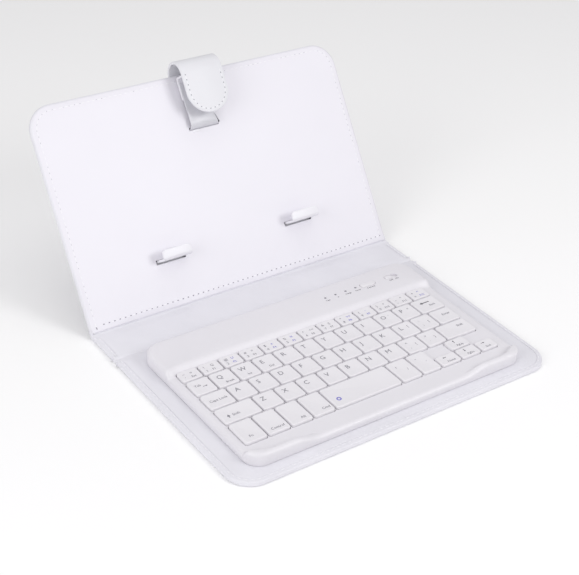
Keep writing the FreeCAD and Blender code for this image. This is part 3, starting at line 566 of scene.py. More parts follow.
def deck_lift(x, y):
    """How far the bar and the corner rests rise above the deck."""
    side = abs(x - shell_middle) - (shell_half - 8.0)
    foot = BAR_FOOT - ease(side / 8.0)
    bar = ease((y - foot) / (BAR_FRONT - BAR_FOOT))
    from_side = shell_half - abs(x - shell_middle)
    length = 1 - ease((from_side - REST_FLAT) / (REST_END - REST_FLAT))
    cornering = ease((13.0 - from_side) / 11.0)
    deep = REST_DEEP + REST_CORNER_DEEP * cornering
    slope = REST_SLOPE + REST_CORNER_SLOPE * cornering
    depth = 1 - ease((y - SHELL_LOW.y - deep) / slope)
    return max(BAR_RISE * bar, REST_RISE * length * depth)


print("the bar rises", round(BAR_RISE, 2), "mm above the deck")

# %% [markdown]
# ## Forming the shell
# The block is sliced finely only where it will rise, and the points above its foot are lifted.

# %% Forming the shell
bm = bmesh.new()
plate(bm, SHELL_LOW.x, SHELL_HIGH.x, SHELL_LOW.y, SHELL_HIGH.y, SHELL_LOW.z, DECK,
      SHELL_CORNER, SHELL_CORNER, 12)
soften(bm, flat_edges(bm, DECK), RIM_RADIUS, 6)
slice_up(bm, 1, steps(BAR_FOOT - 3.6, BAR_FRONT + 0.4, 0.5))
slice_up(bm, 1, steps(SHELL_LOW.y + 1.2, SHELL_LOW.y + 14.0, 0.4))
for rest_steps in (steps(SHELL_LOW.x + 0.8, SHELL_LOW.x + REST_END + 1, 1.0),
                   steps(SHELL_HIGH.x - REST_END - 1, SHELL_HIGH.x - 0.8, 1.0)):
    slice_up(bm, 0, rest_steps, lambda c: c.y < SHELL_LOW.y + 16.5)
for side_steps in (steps(SHELL_LOW.x + 0.8, SHELL_LOW.x + 10, 1.0),
                   steps(SHELL_HIGH.x - 10, SHELL_HIGH.x - 0.8, 1.0)):
    slice_up(bm, 0, side_steps, lambda c: BAR_FOOT - 4 < c.y < BAR_FRONT + 1)
for vert in bm.verts:
    if vert.co.z > SHELL_LOW.z + 0.5:
        vert.co.z += deck_lift(vert.co.x, vert.co.y)
print("shell faces:", len(bm.faces))
shell = finish("keyboard_shell", bm, SHELL_ABS, "base", ["keyboard_frame"])

# %% [markdown]
# ## Hollowing the shell
# A moulding has an even wall.  One cavity is cut from below under the deck, and a second one goes
# on up under the bar, where the battery and the circuit board lie.

# %% Hollowing the shell
cavity = bmesh.new()
plate(cavity, SHELL_LOW.x + SIDE_WALL, SHELL_HIGH.x - SIDE_WALL, SHELL_LOW.y + SIDE_WALL,
      SHELL_HIGH.y - SIDE_WALL, SHELL_LOW.z - 1, DECK - SHELL_SKIN, SHELL_CORNER - SIDE_WALL,
      SHELL_CORNER - SIDE_WALL, 8)
cut_away(shell, cavity)
cavity = bmesh.new()
plate(cavity, SHELL_LOW.x + 4.2, SHELL_HIGH.x - 4.2, BAR_FRONT + 0.6, SHELL_HIGH.y - 3.4,
      DECK - SHELL_SKIN - 1, SHELL_HIGH.z - SHELL_SKIN, 0.5, SHELL_CORNER - 3.6, 8)
cut_away(shell, cavity)
print("hollow shell faces:", len(shell.data.polygons))

# %% [markdown]
# ## Where each key lies
# Three CAD nodes hold many keys each.  Their solids are read apart, row by row, so that every key
# gets its own cap, its own window in the shell and its own legend.


# %% Key places
def solids_of(node):
    """Low and high corners of a CAD node's separate solids, back row first, left to right."""
    bm = bmesh.new()
    bm.from_mesh(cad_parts[node].data)
    bmesh.ops.remove_doubles(bm, verts=bm.verts, dist=1e-6)
    waiting = set(bm.verts)
    found = []
    while waiting:
        cluster, edge_of = set(), [waiting.pop()]
        while edge_of:
            vert = edge_of.pop()
            cluster.add(vert)
            near = {e.other_vert(vert) for e in vert.link_edges} & waiting
            waiting -= near
            edge_of.extend(near)
        spots = [v.co / MM for v in cluster]
        found.append(tuple(Vector([pick(p[n] for p in spots) for n in range(3)]) for pick in (min, max)))
    bm.free()
    return sorted(found, key=lambda b: (-round(b[1].y), b[0].x))


MODIFIERS = ("Tab", "Caps", "ShiftLeft", "ShiftRight", "Fn", "Control", "Alt", "Command")
SYMBOLS = ("semicolon", "comma", "period", "slash", "quote", "ArrowUp", "ArrowLeft", "ArrowDown",
           "ArrowRight")
GROUPS = {"modifier_keys": MODIFIERS, "symbol_keys": SYMBOLS,
          "number_keys": tuple(f"number_{n}" for n in range(13))}
KEYS = {}
for node in sorted(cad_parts):
    if node in GROUPS:
        for key, box in zip(GROUPS[node], solids_of(node)):
            KEYS[key] = (node, box)
    elif node.startswith("key_"):
        KEYS[node[4:]] = (node, box_mm(node))
print(len(KEYS), "keys")

# %% [markdown]
# ## Windows in the shell
# Each key stands in a window with rounded corners and a third of a millimetre of air round it.
# The button, the switch, the lamps and the charging socket have their own openings in the bar.

# %% Openings in the shell
WINDOW_AIR = 0.30
KEY_CORNER = 1.4
OPENING_EDGE = 0.14


def round_ended(bm, left, right_side, front, back_y, low, high, segments=8):
    """A block with fully rounded ends."""
    radius = (back_y - front) / 2 - 0.02
    plate(bm, left, right_side, front, back_y, low, high, radius, radius, segments)


bm = bmesh.new()
for node, (low, high) in KEYS.values():
    plate(bm, low.x - WINDOW_AIR, high.x + WINDOW_AIR, low.y - WINDOW_AIR, high.y + WINDOW_AIR,
          DECK - 2.5, DECK + 3.0, KEY_CORNER, KEY_CORNER, 4)
BUTTON_LOW, BUTTON_HIGH = box_mm("pairing_button")
BUTTON_AIR = 0.22
round_ended(bm, BUTTON_LOW.x - BUTTON_AIR, BUTTON_HIGH.x + BUTTON_AIR, BUTTON_LOW.y - BUTTON_AIR,
            BUTTON_HIGH.y + BUTTON_AIR, DECK + 0.5, SHELL_HIGH.z + 1)
KNOB_LOW, KNOB_HIGH = box_mm("power_switch")
SLOT_LONG = 9.0
SLOT_AIR = 0.3
slot_start = KNOB_LOW.x - 0.5
round_ended(bm, slot_start, slot_start + SLOT_LONG, KNOB_LOW.y - SLOT_AIR, KNOB_HIGH.y + SLOT_AIR,
            DECK + 0.5, SHELL_HIGH.z + 1)
LAMPS = sorted(solids_of("indicator_lamps"), key=lambda b: b[0].x)
LAMP_RADIUS, LAMP_HOLE = 0.6, 0.72
for low, high in LAMPS:
    spot = Matrix.Translation(((low.x + high.x) / 2, (low.y + high.y) / 2, high.z))
    bmesh.ops.create_cone(bm, cap_ends=True, segments=20, radius1=LAMP_HOLE, radius2=LAMP_HOLE,
                          depth=6, matrix=spot)
SOCKET_LOW, SOCKET_HIGH = box_mm("charging_socket")
plate(bm, SOCKET_LOW.x - 1, SOCKET_HIGH.x + 2, SOCKET_LOW.y - 0.2, SOCKET_HIGH.y + 0.2,
      SOCKET_LOW.z - 0.2, SOCKET_HIGH.z + 0.2, 0.6, 0.6, 3)
cut_away(shell, bm)
bevel = shell.modifiers.new("soft_edges", "BEVEL")
bevel.width = OPENING_EDGE * MM
bevel.segments = 2
bevel.limit_method = "ANGLE"
bevel.angle_limit = math.radians(50)
bevel.harden_normals = True
print("shell polygons with openings:", len(shell.data.polygons))

# %% [markdown]
# ## Keycaps
# A chiclet keycap is a thin moulded shell: straight sides, a rounded front and back edge and a top
# that is dished by a tenth of a millimetre, so that it catches the light along its edges.  The two
# home keys carry a small bar.

# %% Keycaps
CAP_EDGE = 0.55
DISH = 0.10
DISH_MARGIN = 0.6
HOME_KEYS = ("F", "J")
HOME_BAR = (3.6, 0.45, 0.16)


def keycap(bm, low, high):
    """One keycap with rounded corners, a soft top edge and a dished top."""
    part = bmesh.new()
    plate(part, low.x, high.x, low.y, high.y, low.z, high.z, KEY_CORNER, KEY_CORNER, 4)
    soften(part, flat_edges(part, high.z), CAP_EDGE, 4)
    top = max(part.faces, key=lambda f: (round(f.calc_center_median().z, 4), f.calc_area()))
    bmesh.ops.inset_region(part, faces=[top], thickness=DISH_MARGIN, depth=-DISH)
    join(bm, part)


def home_bar(bm, low, high):
    """The raised bar that a fingertip finds on a home key."""
    part = bmesh.new()
    long, deep, rise = HOME_BAR
    middle = (low.x + high.x) / 2
    front = low.y + 1.7
    plate(part, middle - long / 2, middle + long / 2, front, front + deep, high.z - 0.3,
          high.z - DISH + rise, 0.2, 0.2, 3)
    soften(part, flat_edges(part, high.z - DISH + rise), 0.12, 2)
    join(bm, part)


for node in sorted({node for node, box in KEYS.values()}):
    bm = bmesh.new()
    for key, (owner, (low, high)) in KEYS.items():
        if owner == node:
            keycap(bm, low, high)
            if key in HOME_KEYS:
                home_bar(bm, low, high)
    finish("cap_" + node.replace("key_", ""), bm, KEY_ABS, "press_" + node, [node])
print("keycaps made")

# %% [markdown]
# ## Legends
# Legends are pad-printed: a film of ink a few hundredths of a millimetre thick.  They are set in a
# plain sans-serif and turned into a mesh.  Arrows and the round mark are cut from flat shapes.

# %% Words and signs in ink
INK = 0.03
FONT_RATIO = 1.38


def word(bm, text, x, y, z, cap_height, align="LEFT"):
    """A word printed flat, its capitals cap_height tall, its foot at y."""
    curve = bpy.data.curves.new("word", "FONT")
    curve.body = text
    curve.size = cap_height * FONT_RATIO
    curve.align_x = align
    curve.resolution_u = 2
    curve.extrude = INK
    curve.offset = -0.004 * cap_height
    holder = place_in_scene("word", curve)
    graph = bpy.context.evaluated_depsgraph_get()
    mesh = bpy.data.meshes.new_from_object(holder.evaluated_get(graph))
    mesh.transform(Matrix.Translation((x, y, z)))
    bm.from_mesh(mesh)
    bpy.data.objects.remove(holder)
    bpy.data.curves.remove(curve)
    bpy.data.meshes.remove(mesh)


def arrow(bm, x, y, z, length, angle, thick=0.35):
    """A small arrow: a bar with a triangular head, pointing along an angle in degrees."""
    part = bmesh.new()
    plate(part, -length / 2, length / 2 - thick * 2, -thick / 2, thick / 2, -INK, INK, 0, 0)
    head = Matrix.Translation((length / 2 - thick * 1.6, 0, 0))
    bmesh.ops.create_cone(part, cap_ends=True, segments=3, radius1=thick * 2, radius2=thick * 2,
                          depth=2 * INK, matrix=head @ Matrix.Rotation(math.radians(30), 4, "Z"))
    part.transform(Matrix.Translation((x, y, z)) @ Matrix.Rotation(math.radians(angle), 4, "Z"))
    join(bm, part)


def ring_mark(bm, x, y, z, radius):
    """A plain round mark with a clear middle."""
    part = bmesh.new()
    bmesh.ops.create_circle(part, cap_ends=True, segments=24, radius=radius)
    bmesh.ops.inset_region(part, faces=part.faces[:], thickness=radius * 0.45, use_boundary=True)
    middle = max(part.faces, key=lambda f: len(f.verts))
    bmesh.ops.delete(part, geom=[middle], context="FACES_ONLY")
    raise_faces(part, part.faces[:], 2 * INK)
    part.transform(Matrix.Translation((x, y, z - INK)))
    join(bm, part)


print("ink stands", INK, "mm proud")

# %% [markdown]
# ## What each key says
# The legends are plain letters, digits and common words.  Where a word has two numbers beside it,
# they are its place on the cap, as shares of the cap's width and depth.

# %% Tables of legends
SMALL, TINY, LETTER = 1.75, 1.5, 3.1
NUMBER_LEGENDS = tuple(zip("~!@#$%^&*()_+", "`1234567890-=",
                           ("Esc",) + tuple(f"F{n}" for n in range(1, 13)),
                           ("o", "Q", "U", "=", "x", "X", "<<", "||", ">>", "-", "+", "^", "*")))
BLUE_ICONS = (2, 4, 5, 8, 9, 12)
SIDE_WORDS = {"Q": "Break", "W": "Ins", "E": "Del"}
PAIRS = {"semicolon": (":", ";", "["), "comma": ("<", ",", "{"), "period": (">", ".", "}"),
         "slash": ("?", "", "/"), "quote": ("\"", "", "'")}
ARROWS = {"ArrowUp": (90, "PgUp"), "ArrowDown": (-90, "PgDn"), "ArrowLeft": (180, "Home"),
          "ArrowRight": (0, "End")}
CORNER_SIGNS = {"O": "'", "P": "*", "L": "["}
MODIFIER_WORDS = {"Tab": ("Tab", 0.18, 0.52), "Caps": ("Caps Lock", 0.14, 0.40),
                  "ShiftLeft": ("Shift", 0.30, 0.32), "Fn": ("Fn", 0.34, 0.20),
                  "Control": ("Control", 0.22, 0.14), "Alt": ("Alt", 0.55, 0.14),
                  "Command": ("Cmd", 0.52, 0.16), "ShiftRight": ("Shift", 0.60, 0.56),
                  "Enter": ("Enter", 0.42, 0.50)}
print(len(NUMBER_LEGENDS), "number keys carry four signs each")

# %% [markdown]
# ## Printing the legends
# Each key is printed in up to three inks, and each ink of a node becomes one piece, which rides on
# the key's own body and goes down with it.


# %% Printing the legends
def key_legend(inks, key, low, high):
    """Print the legend of one key, in grey, blue or dark ink."""
    z = high.z - DISH + INK * 0.8
    wide, deep = high.x - low.x, high.y - low.y

    def put(text, across, along, size, ink="grey"):
        """A word at a share of the cap's width and depth."""
        word(inks[ink], text, low.x + across * wide, low.y + along * deep, z, size)

    def point(across, along, length, angle, thick, ink="grey"):
        """An arrow at a share of the cap's width and depth."""
        arrow(inks[ink], low.x + across * wide, low.y + along * deep, z, length, angle, thick)

    if key.startswith("number_"):
        n = int(key[7:])
        shifted, plain, upper, icon = NUMBER_LEGENDS[n]
        far, near = 4.9 / deep, 1.6 / deep
        icon_ink = "blue" if n in BLUE_ICONS else "grey"
        put(shifted, 0.18, far, SMALL)
        put(plain, 0.18, near, SMALL)
        put(icon, 0.55, far, SMALL, icon_ink)
        put(upper, 0.50, near, TINY, icon_ink)
    elif len(key) == 1:
        put(key, 0.22, 0.52, LETTER)
        if key in SIDE_WORDS:
            put(SIDE_WORDS[key], 0.42, 0.16, TINY)
        if key in CORNER_SIGNS:
            put(CORNER_SIGNS[key], 0.66, 0.58, SMALL)
    elif key in PAIRS:
        for text, across, along in zip(PAIRS[key], (0.26, 0.28, 0.66), (0.64, 0.30, 0.42)):
            put(text, across, along, SMALL)
    elif key in ARROWS:
        angle, text = ARROWS[key]
        point(0.40, 0.70, 2.2, angle, 0.3, "dark")
        put(text, 0.36, 0.16, TINY)
    elif key in MODIFIER_WORDS:
        text, across, along = MODIFIER_WORDS[key]
        put(text, across, along, SMALL)
        if key == "Tab":
            point(0.62, 0.44, 2.6, 0, 0.3)
        if key == "ShiftLeft":
            point(0.20, 0.38, 2.4, 90, 0.5)
    elif key == "Backspace":
        point(0.46, 0.66, 6.2, 180, 0.55, "dark")
        put("Back", 0.52, 0.34, TINY)
    elif key == "Space":
        ring_mark(inks["blue"], low.x + 0.12 * wide, low.y + 0.34 * deep, z, 1.35)


for node in sorted({node for node, box in KEYS.values()}):
    inks = {"grey": bmesh.new(), "blue": bmesh.new(), "dark": bmesh.new()}
    for key, (owner, (low, high)) in KEYS.items():
        if owner == node:
            key_legend(inks, key, low, high)
    for (colour, bm), ink in zip(inks.items(), (GREY_INK, BLUE_INK, DARK_INK)):
        if len(bm.verts):
            name = f"legend_{colour}_" + node.replace("key_", "")
            finish(name, bm, ink, "press_" + node)
        else:
            bm.free()
print("legends printed")

# %% [markdown]
# ## Button and switch
# The pairing button is an oval cap that stands a little proud of the bar.  The switch is a knob
# with three grip ridges in an oval slot, and a skirt under the bar closes the slot.

# %% Button and switch
bm = bmesh.new()
round_ended(bm, BUTTON_LOW.x, BUTTON_HIGH.x, BUTTON_LOW.y, BUTTON_HIGH.y, BUTTON_LOW.z, BUTTON_HIGH.z, 10)
soften(bm, flat_edges(bm, BUTTON_HIGH.z), 0.28, 3)
finish("pairing_button_cap", bm, KEY_ABS, "pair_button", ["pairing_button"])

bm = bmesh.new()
RIDGES, RIDGE_HALF, RIDGE_RISE = 3, 0.2, 0.15
knob_long = KNOB_HIGH.x - KNOB_LOW.x
knob_flat = KNOB_HIGH.z - RIDGE_RISE
plate(bm, KNOB_LOW.x, KNOB_HIGH.x, KNOB_LOW.y, KNOB_HIGH.y, KNOB_LOW.z, knob_flat, 0.9, 0.9, 5)
soften(bm, flat_edges(bm, knob_flat), 0.2, 2)
for n in range(RIDGES):
    place = KNOB_LOW.x + (n + 1) * knob_long / (RIDGES + 1)
    plate(bm, place - RIDGE_HALF, place + RIDGE_HALF, KNOB_LOW.y + 0.5, KNOB_HIGH.y - 0.5,
          KNOB_HIGH.z - 0.4, KNOB_HIGH.z, 0.15, 0.15, 2)
under_skin = SHELL_HIGH.z - SHELL_SKIN
plate(bm, slot_start - knob_long + 1, slot_start + SLOT_LONG + 0.5, KNOB_LOW.y - 1, KNOB_HIGH.y + 1,
      under_skin - 0.5, under_skin - 0.1, 0.5, 0.5, 3)
finish("switch_knob_cap", bm, KEY_ABS, "switch_knob", ["power_switch"])
print("button and switch made")

# %% [markdown]
# ## Lamps and labels
# Each lamp is the domed end of a smoked light pipe, flush with the bar, with a short word under it.

# %% Lamps and labels
bm = bmesh.new()
for low, high in LAMPS:
    part = bmesh.new()
    spot = Matrix.Translation(((low.x + high.x) / 2, (low.y + high.y) / 2, (low.z + high.z) / 2))
    bmesh.ops.create_cone(part, cap_ends=True, segments=20, radius1=LAMP_RADIUS, radius2=LAMP_RADIUS,
                          depth=high.z - low.z, matrix=spot)
    soften(part, flat_edges(part, high.z), 0.2, 3)
    join(bm, part)
finish("lamp_lenses", bm, LAMP_LENS, "base", ["indicator_lamps"])

bm = bmesh.new()
label_y = LAMPS[0][0].y - 2.6
label_z = SHELL_HIGH.z + INK * 0.5
for text, (low, high) in zip(("Caps", "A", "Charge", "Power"), LAMPS):
    word(bm, text, (low.x + high.x) / 2, label_y, label_z, 1.0, "CENTER")
for text, x in (("Connect", (BUTTON_LOW.x + BUTTON_HIGH.x) / 2), ("OFF   ON", slot_start + SLOT_LONG / 2)):
    word(bm, text, x, label_y - 1.2, label_z, 1.15, "CENTER")
finish("bar_labels", bm, DARK_INK, "base")
print("lamps and labels made")

# %% [markdown]
# ## How a panel is made
# A panel is made like a book cover: leather is turned over a board and glued down, and the inside
# sheet covers the turned hem.  The cover is a rounded plate with a dish for the board.  Hand-glued
# leather is never dead straight, so the edges wander by a tenth of a millimetre.

# %% How a panel is made
HALF = 100.0
CORNER, FOLD_CORNER = 14.0, 1.0
HEM = 3.0
EDGE = 1.15
WANDER, WANDER_SEED = 0.10, 7

# Noise vectors start from the clock until a seed is set, so with this one every run wanders alike.
noise.seed_set(WANDER_SEED)


def wander(bm, amount, level, seed):
    """Let a piece wave a little, more in its plane than out of it."""
    for vert in bm.verts:
        drift = noise.noise_vector(vert.co / 23.0 + Vector((seed, 0, 0)))
        vert.co += Vector((drift.x * amount, drift.y * amount, 0))
        if vert.co.z > level:
            vert.co.z += drift.z * amount * 0.6


def biggest_at(bm, height):
    """The largest face at one height."""
    return max((f for f in bm.faces if all(abs(v.co.z - height) < 1e-3 for v in f.verts)),
               key=lambda f: f.calc_area())


def cover(bm, front, back_y, low, high, front_radius, back_radius, seed):
    """A leather cover: a rounded plate with a turned hem round a dish."""
    plate(bm, -HALF, HALF, front, back_y, low, high, front_radius, back_radius)
    soften(bm, flat_edges(bm, high) + flat_edges(bm, low), EDGE, 4)
    dish = biggest_at(bm, high)
    bmesh.ops.inset_region(bm, faces=[dish], thickness=HEM - EDGE)
    bmesh.ops.inset_region(bm, faces=[dish], thickness=0.05, depth=0.9 - (high - low))
    slice_up(bm, 0, steps(-HALF, HALF, 6.0))
    slice_up(bm, 1, steps(front, back_y, 6.0))
    wander(bm, WANDER, high - 0.1, seed)


def inside_sheet(bm, inset, front, back_y, low, high, front_radius, back_radius, seed, wave):
    """The sheet that covers the hem, slightly wavy, with a soft edge; it runs into the folds."""
    near, far = [inset if radius > HEM else min(inset, 0.5) for radius in (front_radius, back_radius)]
    plate(bm, inset - HALF, HALF - inset, front + near, back_y - far, low, high,
          max(front_radius - inset, 0.4), max(back_radius - inset, 0.4))
    soften(bm, flat_edges(bm, high), min(0.4, (high - low) * 0.7), 3)
    slice_up(bm, 0, steps(-HALF, HALF, 5.0))
    slice_up(bm, 1, steps(front, back_y, 5.0))
    wander(bm, wave, high - 0.05, seed)


print("turned hem", HEM, "mm wide")

# %% [markdown]
# ## Three panels
# The base lies flat, the spine stands behind it, and the lid is drawn flat and leaned back.

# %% Three panels
BASE_FRONT, BASE_BACK = -59.5, 59.0
SPINE_FRONT, SPINE_BACK = 61.8, 83.9
PANEL_THICK = 3.0
LID_LONG, LID_THICK = 124.4, 3.2

SHEET_LOW, SHEET_HIGH = 2.45, 3.08
for body, front, back_y, front_radius, seed, wave in (
        ("base", BASE_FRONT, BASE_BACK, CORNER, 1.0, 0.1),
        ("spine", SPINE_FRONT, SPINE_BACK, FOLD_CORNER, 3.0, 0.12)):
    bm = bmesh.new()
    cover(bm, front, back_y, 0, PANEL_THICK, front_radius, FOLD_CORNER, seed)
    finish(body + "_leather", bm, OUTER_LEATHER, body, [body + "_cover"])
    bm = bmesh.new()
    inside_sheet(bm, HEM - 0.1, front, back_y, SHEET_LOW, SHEET_HIGH, front_radius, FOLD_CORNER,
                 seed + 1.0, wave)
    finish(body + "_inside", bm, OUTER_LEATHER, body, [body + "_lining"])
bm = bmesh.new()
cover(bm, 0, LID_LONG, -LID_THICK, -0.12, FOLD_CORNER, CORNER, 5.0)
lid_leather = finish("lid_leather", bm, OUTER_LEATHER, "lid", ["lid_cover"], LID)
bm = bmesh.new()
inside_sheet(bm, 0.8, 0, LID_LONG, -0.58, 0.05, FOLD_CORNER, CORNER, 6.0, 0.1)
lid_inside = finish("lid_inside", bm, LID_LINING, "lid", ["lid_lining"], LID)
print("panels made")

# %% [markdown]
# ## Leg window, hook slits and band slit
# The back of the lid has a window for the leg.  The lining has a slit under each lower hook, cut a
# little longer than the hook on its left, a slit for the elastic band, and a short slanted snip
# beside it.

# %% Openings in the lid
LEG_HINGE_UP, LEG_HINGE_DEEP = 78.0, 2.2
LEG_HALF, LEG_LONG, LEG_THICK = 28.0, 69.55, 2.0
LEG_PLAY = 1.0
BAND_LEFT, BAND_RIGHT = -7.9, 8.6
BAND_FLARE = 2.0
HOOK_MIDDLES = (-41.8, 44.1)
SNIP_SPOT = (10.6, 96.4, 0)
SNIP_LEAN = math.radians(19)


def cut_lid(piece, boxes, low, high):
    """Cut straight-sided openings, given as left, right, foot and top, through a piece of the lid."""
    cutter = bmesh.new()
    for left, right_side, foot, top in boxes:
        plate(cutter, left, right_side, foot, top, low, high, 0.3, 0.3, 3)
    cutter.transform(LID)
    cut_away(piece, cutter)


cut_lid(lid_leather, [(-LEG_HALF - LEG_PLAY, LEG_HALF + LEG_PLAY, LEG_HINGE_UP - LEG_LONG - LEG_PLAY,
                       LEG_HINGE_UP + LEG_THICK / 2 + LEG_PLAY)], -4.5, -1.9)
hook_slits = [(middle - 9.9, middle + 8.8, 25.3, 28.0) for middle in HOOK_MIDDLES]
band_slit = (BAND_LEFT - 0.5, BAND_RIGHT + BAND_FLARE + 0.3, 92.3, 94.0)
cut_lid(lid_inside, hook_slits + [band_slit], -1.5, 1.0)
snip = bmesh.new()
plate(snip, -0.5, 0.5, -3.0, 3.0, -1.5, 1.0, 0.2, 0.2, 3)
snip.transform(LID @ Matrix.Translation(SNIP_SPOT) @ Matrix.Rotation(SNIP_LEAN, 4, "Z"))
cut_away(lid_inside, snip)
print("lid openings cut")

# %% [markdown]
# ## The base's fold
# Between the panels there is only leather and lining, which bend.  The base's fold is a shallow
# valley.

# %% The base's fold
FOLD_LAP = 1.3
VALLEY_MIDDLE = (BASE_BACK + SPINE_FRONT) / 2
VALLEY_TOP = 3.04


def valley(y, middle, wide):
    """A soft valley's depth, from 0 to 1."""
    return math.exp(-((y - middle) / wide) ** 2)


bm = bmesh.new()
plate(bm, -HALF, HALF, BASE_BACK - FOLD_LAP, SPINE_FRONT + FOLD_LAP, 0.02, VALLEY_TOP, 0.3, 0.3, 3)
soften(bm, flat_edges(bm, VALLEY_TOP), 0.3, 2)
slice_up(bm, 1, steps(BASE_BACK - FOLD_LAP, SPINE_FRONT + FOLD_LAP, 0.3))
slice_up(bm, 0, steps(-HALF, HALF, 5.0))
for vert in bm.verts:
    deep = valley(vert.co.y, VALLEY_MIDDLE, 1.0)
    crease = 0.2 * noise.noise(Vector((vert.co.x / 9.0, vert.co.y, 8.0)))
    vert.co.z += deep * ((-0.55 + crease) if vert.co.z > 1.5 else 0.5)
    vert.co.x *= 0.9962 - 0.003 * deep
finish("base_fold", bm, OUTER_LEATHER, "base",
       blend_to=("spine", (0, (BASE_BACK + 0.1) * MM, 1.5 * MM), (0, (SPINE_FRONT - 0.1) * MM, 1.5 * MM)))
print("base fold made")

# %% [markdown]
# ## The lid's fold
# This fold is drawn flat, sliced across, and turned round one centre line through the lid's lean,
# with a crease on its inner side where the lining tucks in.

# %% The lid's fold
FOLD_CENTRE = Vector((SPINE_BACK, 4.76))
FOLD_INNER, FOLD_OUTER = (1.72, 2.02), (4.74, 5.24)
ARC_LONG = 3.6
LID_LAP = 2.2
bm = bmesh.new()
plate(bm, -HALF, HALF, -FOLD_LAP, ARC_LONG + LID_LAP, 0, 1, 0.1, 0.1, 2)
slice_up(bm, 1, steps(-FOLD_LAP, ARC_LONG + LID_LAP, 0.3))
slice_up(bm, 0, steps(-HALF, HALF, 5.0))
for vert in bm.verts:
    turned = min(max(vert.co.y / ARC_LONG, 0.0), 1.0)
    angle = math.radians(-90.0) + turned * LID_RISE
    inner = FOLD_INNER[0] + (FOLD_INNER[1] - FOLD_INNER[0]) * turned
    outer = FOLD_OUTER[0] + (FOLD_OUTER[1] - FOLD_OUTER[0]) * turned
    crease = 0.75 * valley(turned, 0.93, 0.10)
    reach = outer + (inner + crease - outer) * vert.co.z
    past = vert.co.y - turned * ARC_LONG
    along = Vector((-math.sin(angle), math.cos(angle))) * past
    across = FOLD_CENTRE + Vector((math.cos(angle), math.sin(angle))) * reach + along
    vert.co = Vector((vert.co.x, across.x, across.y))
finish("lid_fold", bm, OUTER_LEATHER, "spine",
       blend_to=("lid", (0, 84.2 * MM, 2.0 * MM), (0, 87.3 * MM, 4.0 * MM)))
print("lid fold made")

# %% [markdown]
# ## Stitches
# The seams are lock stitches of white thread, about eight to the inch.  A stitch is a small oval of
# thread that sinks at both ends into its needle holes, and on the pale lining the holes are what
# one sees; their shade is painted on shallow grey cups.

# %% Stitches
STITCH_PITCH = 3.3
SEAM, LID_SEAM = 2.1, 3.4


def edge_spots(left, right_side, front, back_y, front_radius, back_radius, pitch=STITCH_PITCH):
    """Evenly spaced places (x, y, angle) round a rounded outline."""
    part = bmesh.new()
    face = outline(part, left, right_side, front, back_y, 0.0, front_radius, back_radius, 12)
    corners = [v.co.copy() for v in face.verts]
    part.free()
    spots, carried = [], 0.0
    for a, b in zip(corners, corners[1:] + corners[:1]):
        length = (b - a).length
        while carried < length:
            place = a.lerp(b, carried / length)
            spots.append((place.x, place.y, math.atan2(b.y - a.y, b.x - a.x)))
            carried += pitch
        carried -= length
    return spots


def threads(spots, height, long=2.3, wide=0.55, high=0.34):
    """Oval stitches at a height."""
    bm = bmesh.new()
    for x, y, angle in spots:
        place = Matrix.Translation((x, y, height)) @ Matrix.Rotation(angle, 4, "Z")
        oval = Matrix.Diagonal((long / 2, wide / 2, high / 2, 1.0))
        bmesh.ops.create_icosphere(bm, subdivisions=1, radius=1.0, matrix=place @ oval)
    return bm


def needle_holes(spots, height, radius=0.42):
    """Painted shade of the needle holes between stitches, on shallow grey cups."""
    bm = bmesh.new()
    for x, y, angle in spots:
        place = Matrix.Translation((x, y, height)) @ Matrix.Rotation(angle, 4, "Z")
        oval = Matrix.Diagonal((1.15, 0.8, 1.0, 1.0))
        bmesh.ops.create_cone(bm, cap_ends=True, segments=8, radius1=radius, radius2=radius * 0.8,
                              depth=0.06, matrix=place @ oval)
    return bm


def between(spots, share=0.5):
    """Places half a pitch further on."""
    return [(x + math.cos(a) * STITCH_PITCH * share, y + math.sin(a) * STITCH_PITCH * share, a)
            for x, y, a in spots]


print("one stitch every", STITCH_PITCH, "mm")

# %% [markdown]
# ## Rows of stitches
# The base and the spine are stitched near their edges, and the lid all round.  The lid's needle
# holes show clearly along its foot and only here and there along its sides.

# %% Rows of stitches
base_row = [spot for spot in edge_spots(SEAM - HALF, HALF - SEAM, BASE_FRONT + SEAM, BASE_BACK + 30,
                                        CORNER - SEAM, 1.0) if spot[1] < BASE_BACK - 1.5]
finish("base_stitches", threads(base_row, PANEL_THICK + 0.02), WHITE_THREAD, "base")
spine_row = [(side * (HALF - SEAM), SPINE_FRONT + 2.5 + n * STITCH_PITCH, math.pi / 2)
             for side in (-1, 1) for n in range(6)]
finish("spine_stitches", threads(spine_row, PANEL_THICK + 0.02), WHITE_THREAD, "spine")
lid_row = edge_spots(3.6 - HALF, HALF - 3.6, 3.5, LID_LONG - LID_SEAM, 0.4, CORNER - LID_SEAM)
finish("lid_stitches", threads(lid_row, 0.04, high=0.26), WHITE_THREAD, "lid", frame_of=LID)
bottom_row = [spot for spot in between(lid_row) if spot[1] < 4.5]
side_rows = [spot for spot in between(lid_row) if spot[1] >= 4.5 and noise.noise(Vector(spot) / 7) > -0.1]
finish("lid_needle_holes", needle_holes(bottom_row, 0.07), NEEDLE_HOLE_SHADE, "lid", frame_of=LID)
finish("lid_side_holes", needle_holes(side_rows, 0.07, 0.2), NEEDLE_HOLE_SHADE, "lid", frame_of=LID)
print("stitches:", len(base_row), len(spine_row), len(lid_row))

# %% [markdown]
# ## Bent strips
# The strap, the hooks and the band are all flat strips bent in the lid's side view.  A strip is
# drawn flat, with its length along Y, cut across, and then rolled along a path of straights and
# arcs.  In the side view s runs up the lid and d out of its lining.


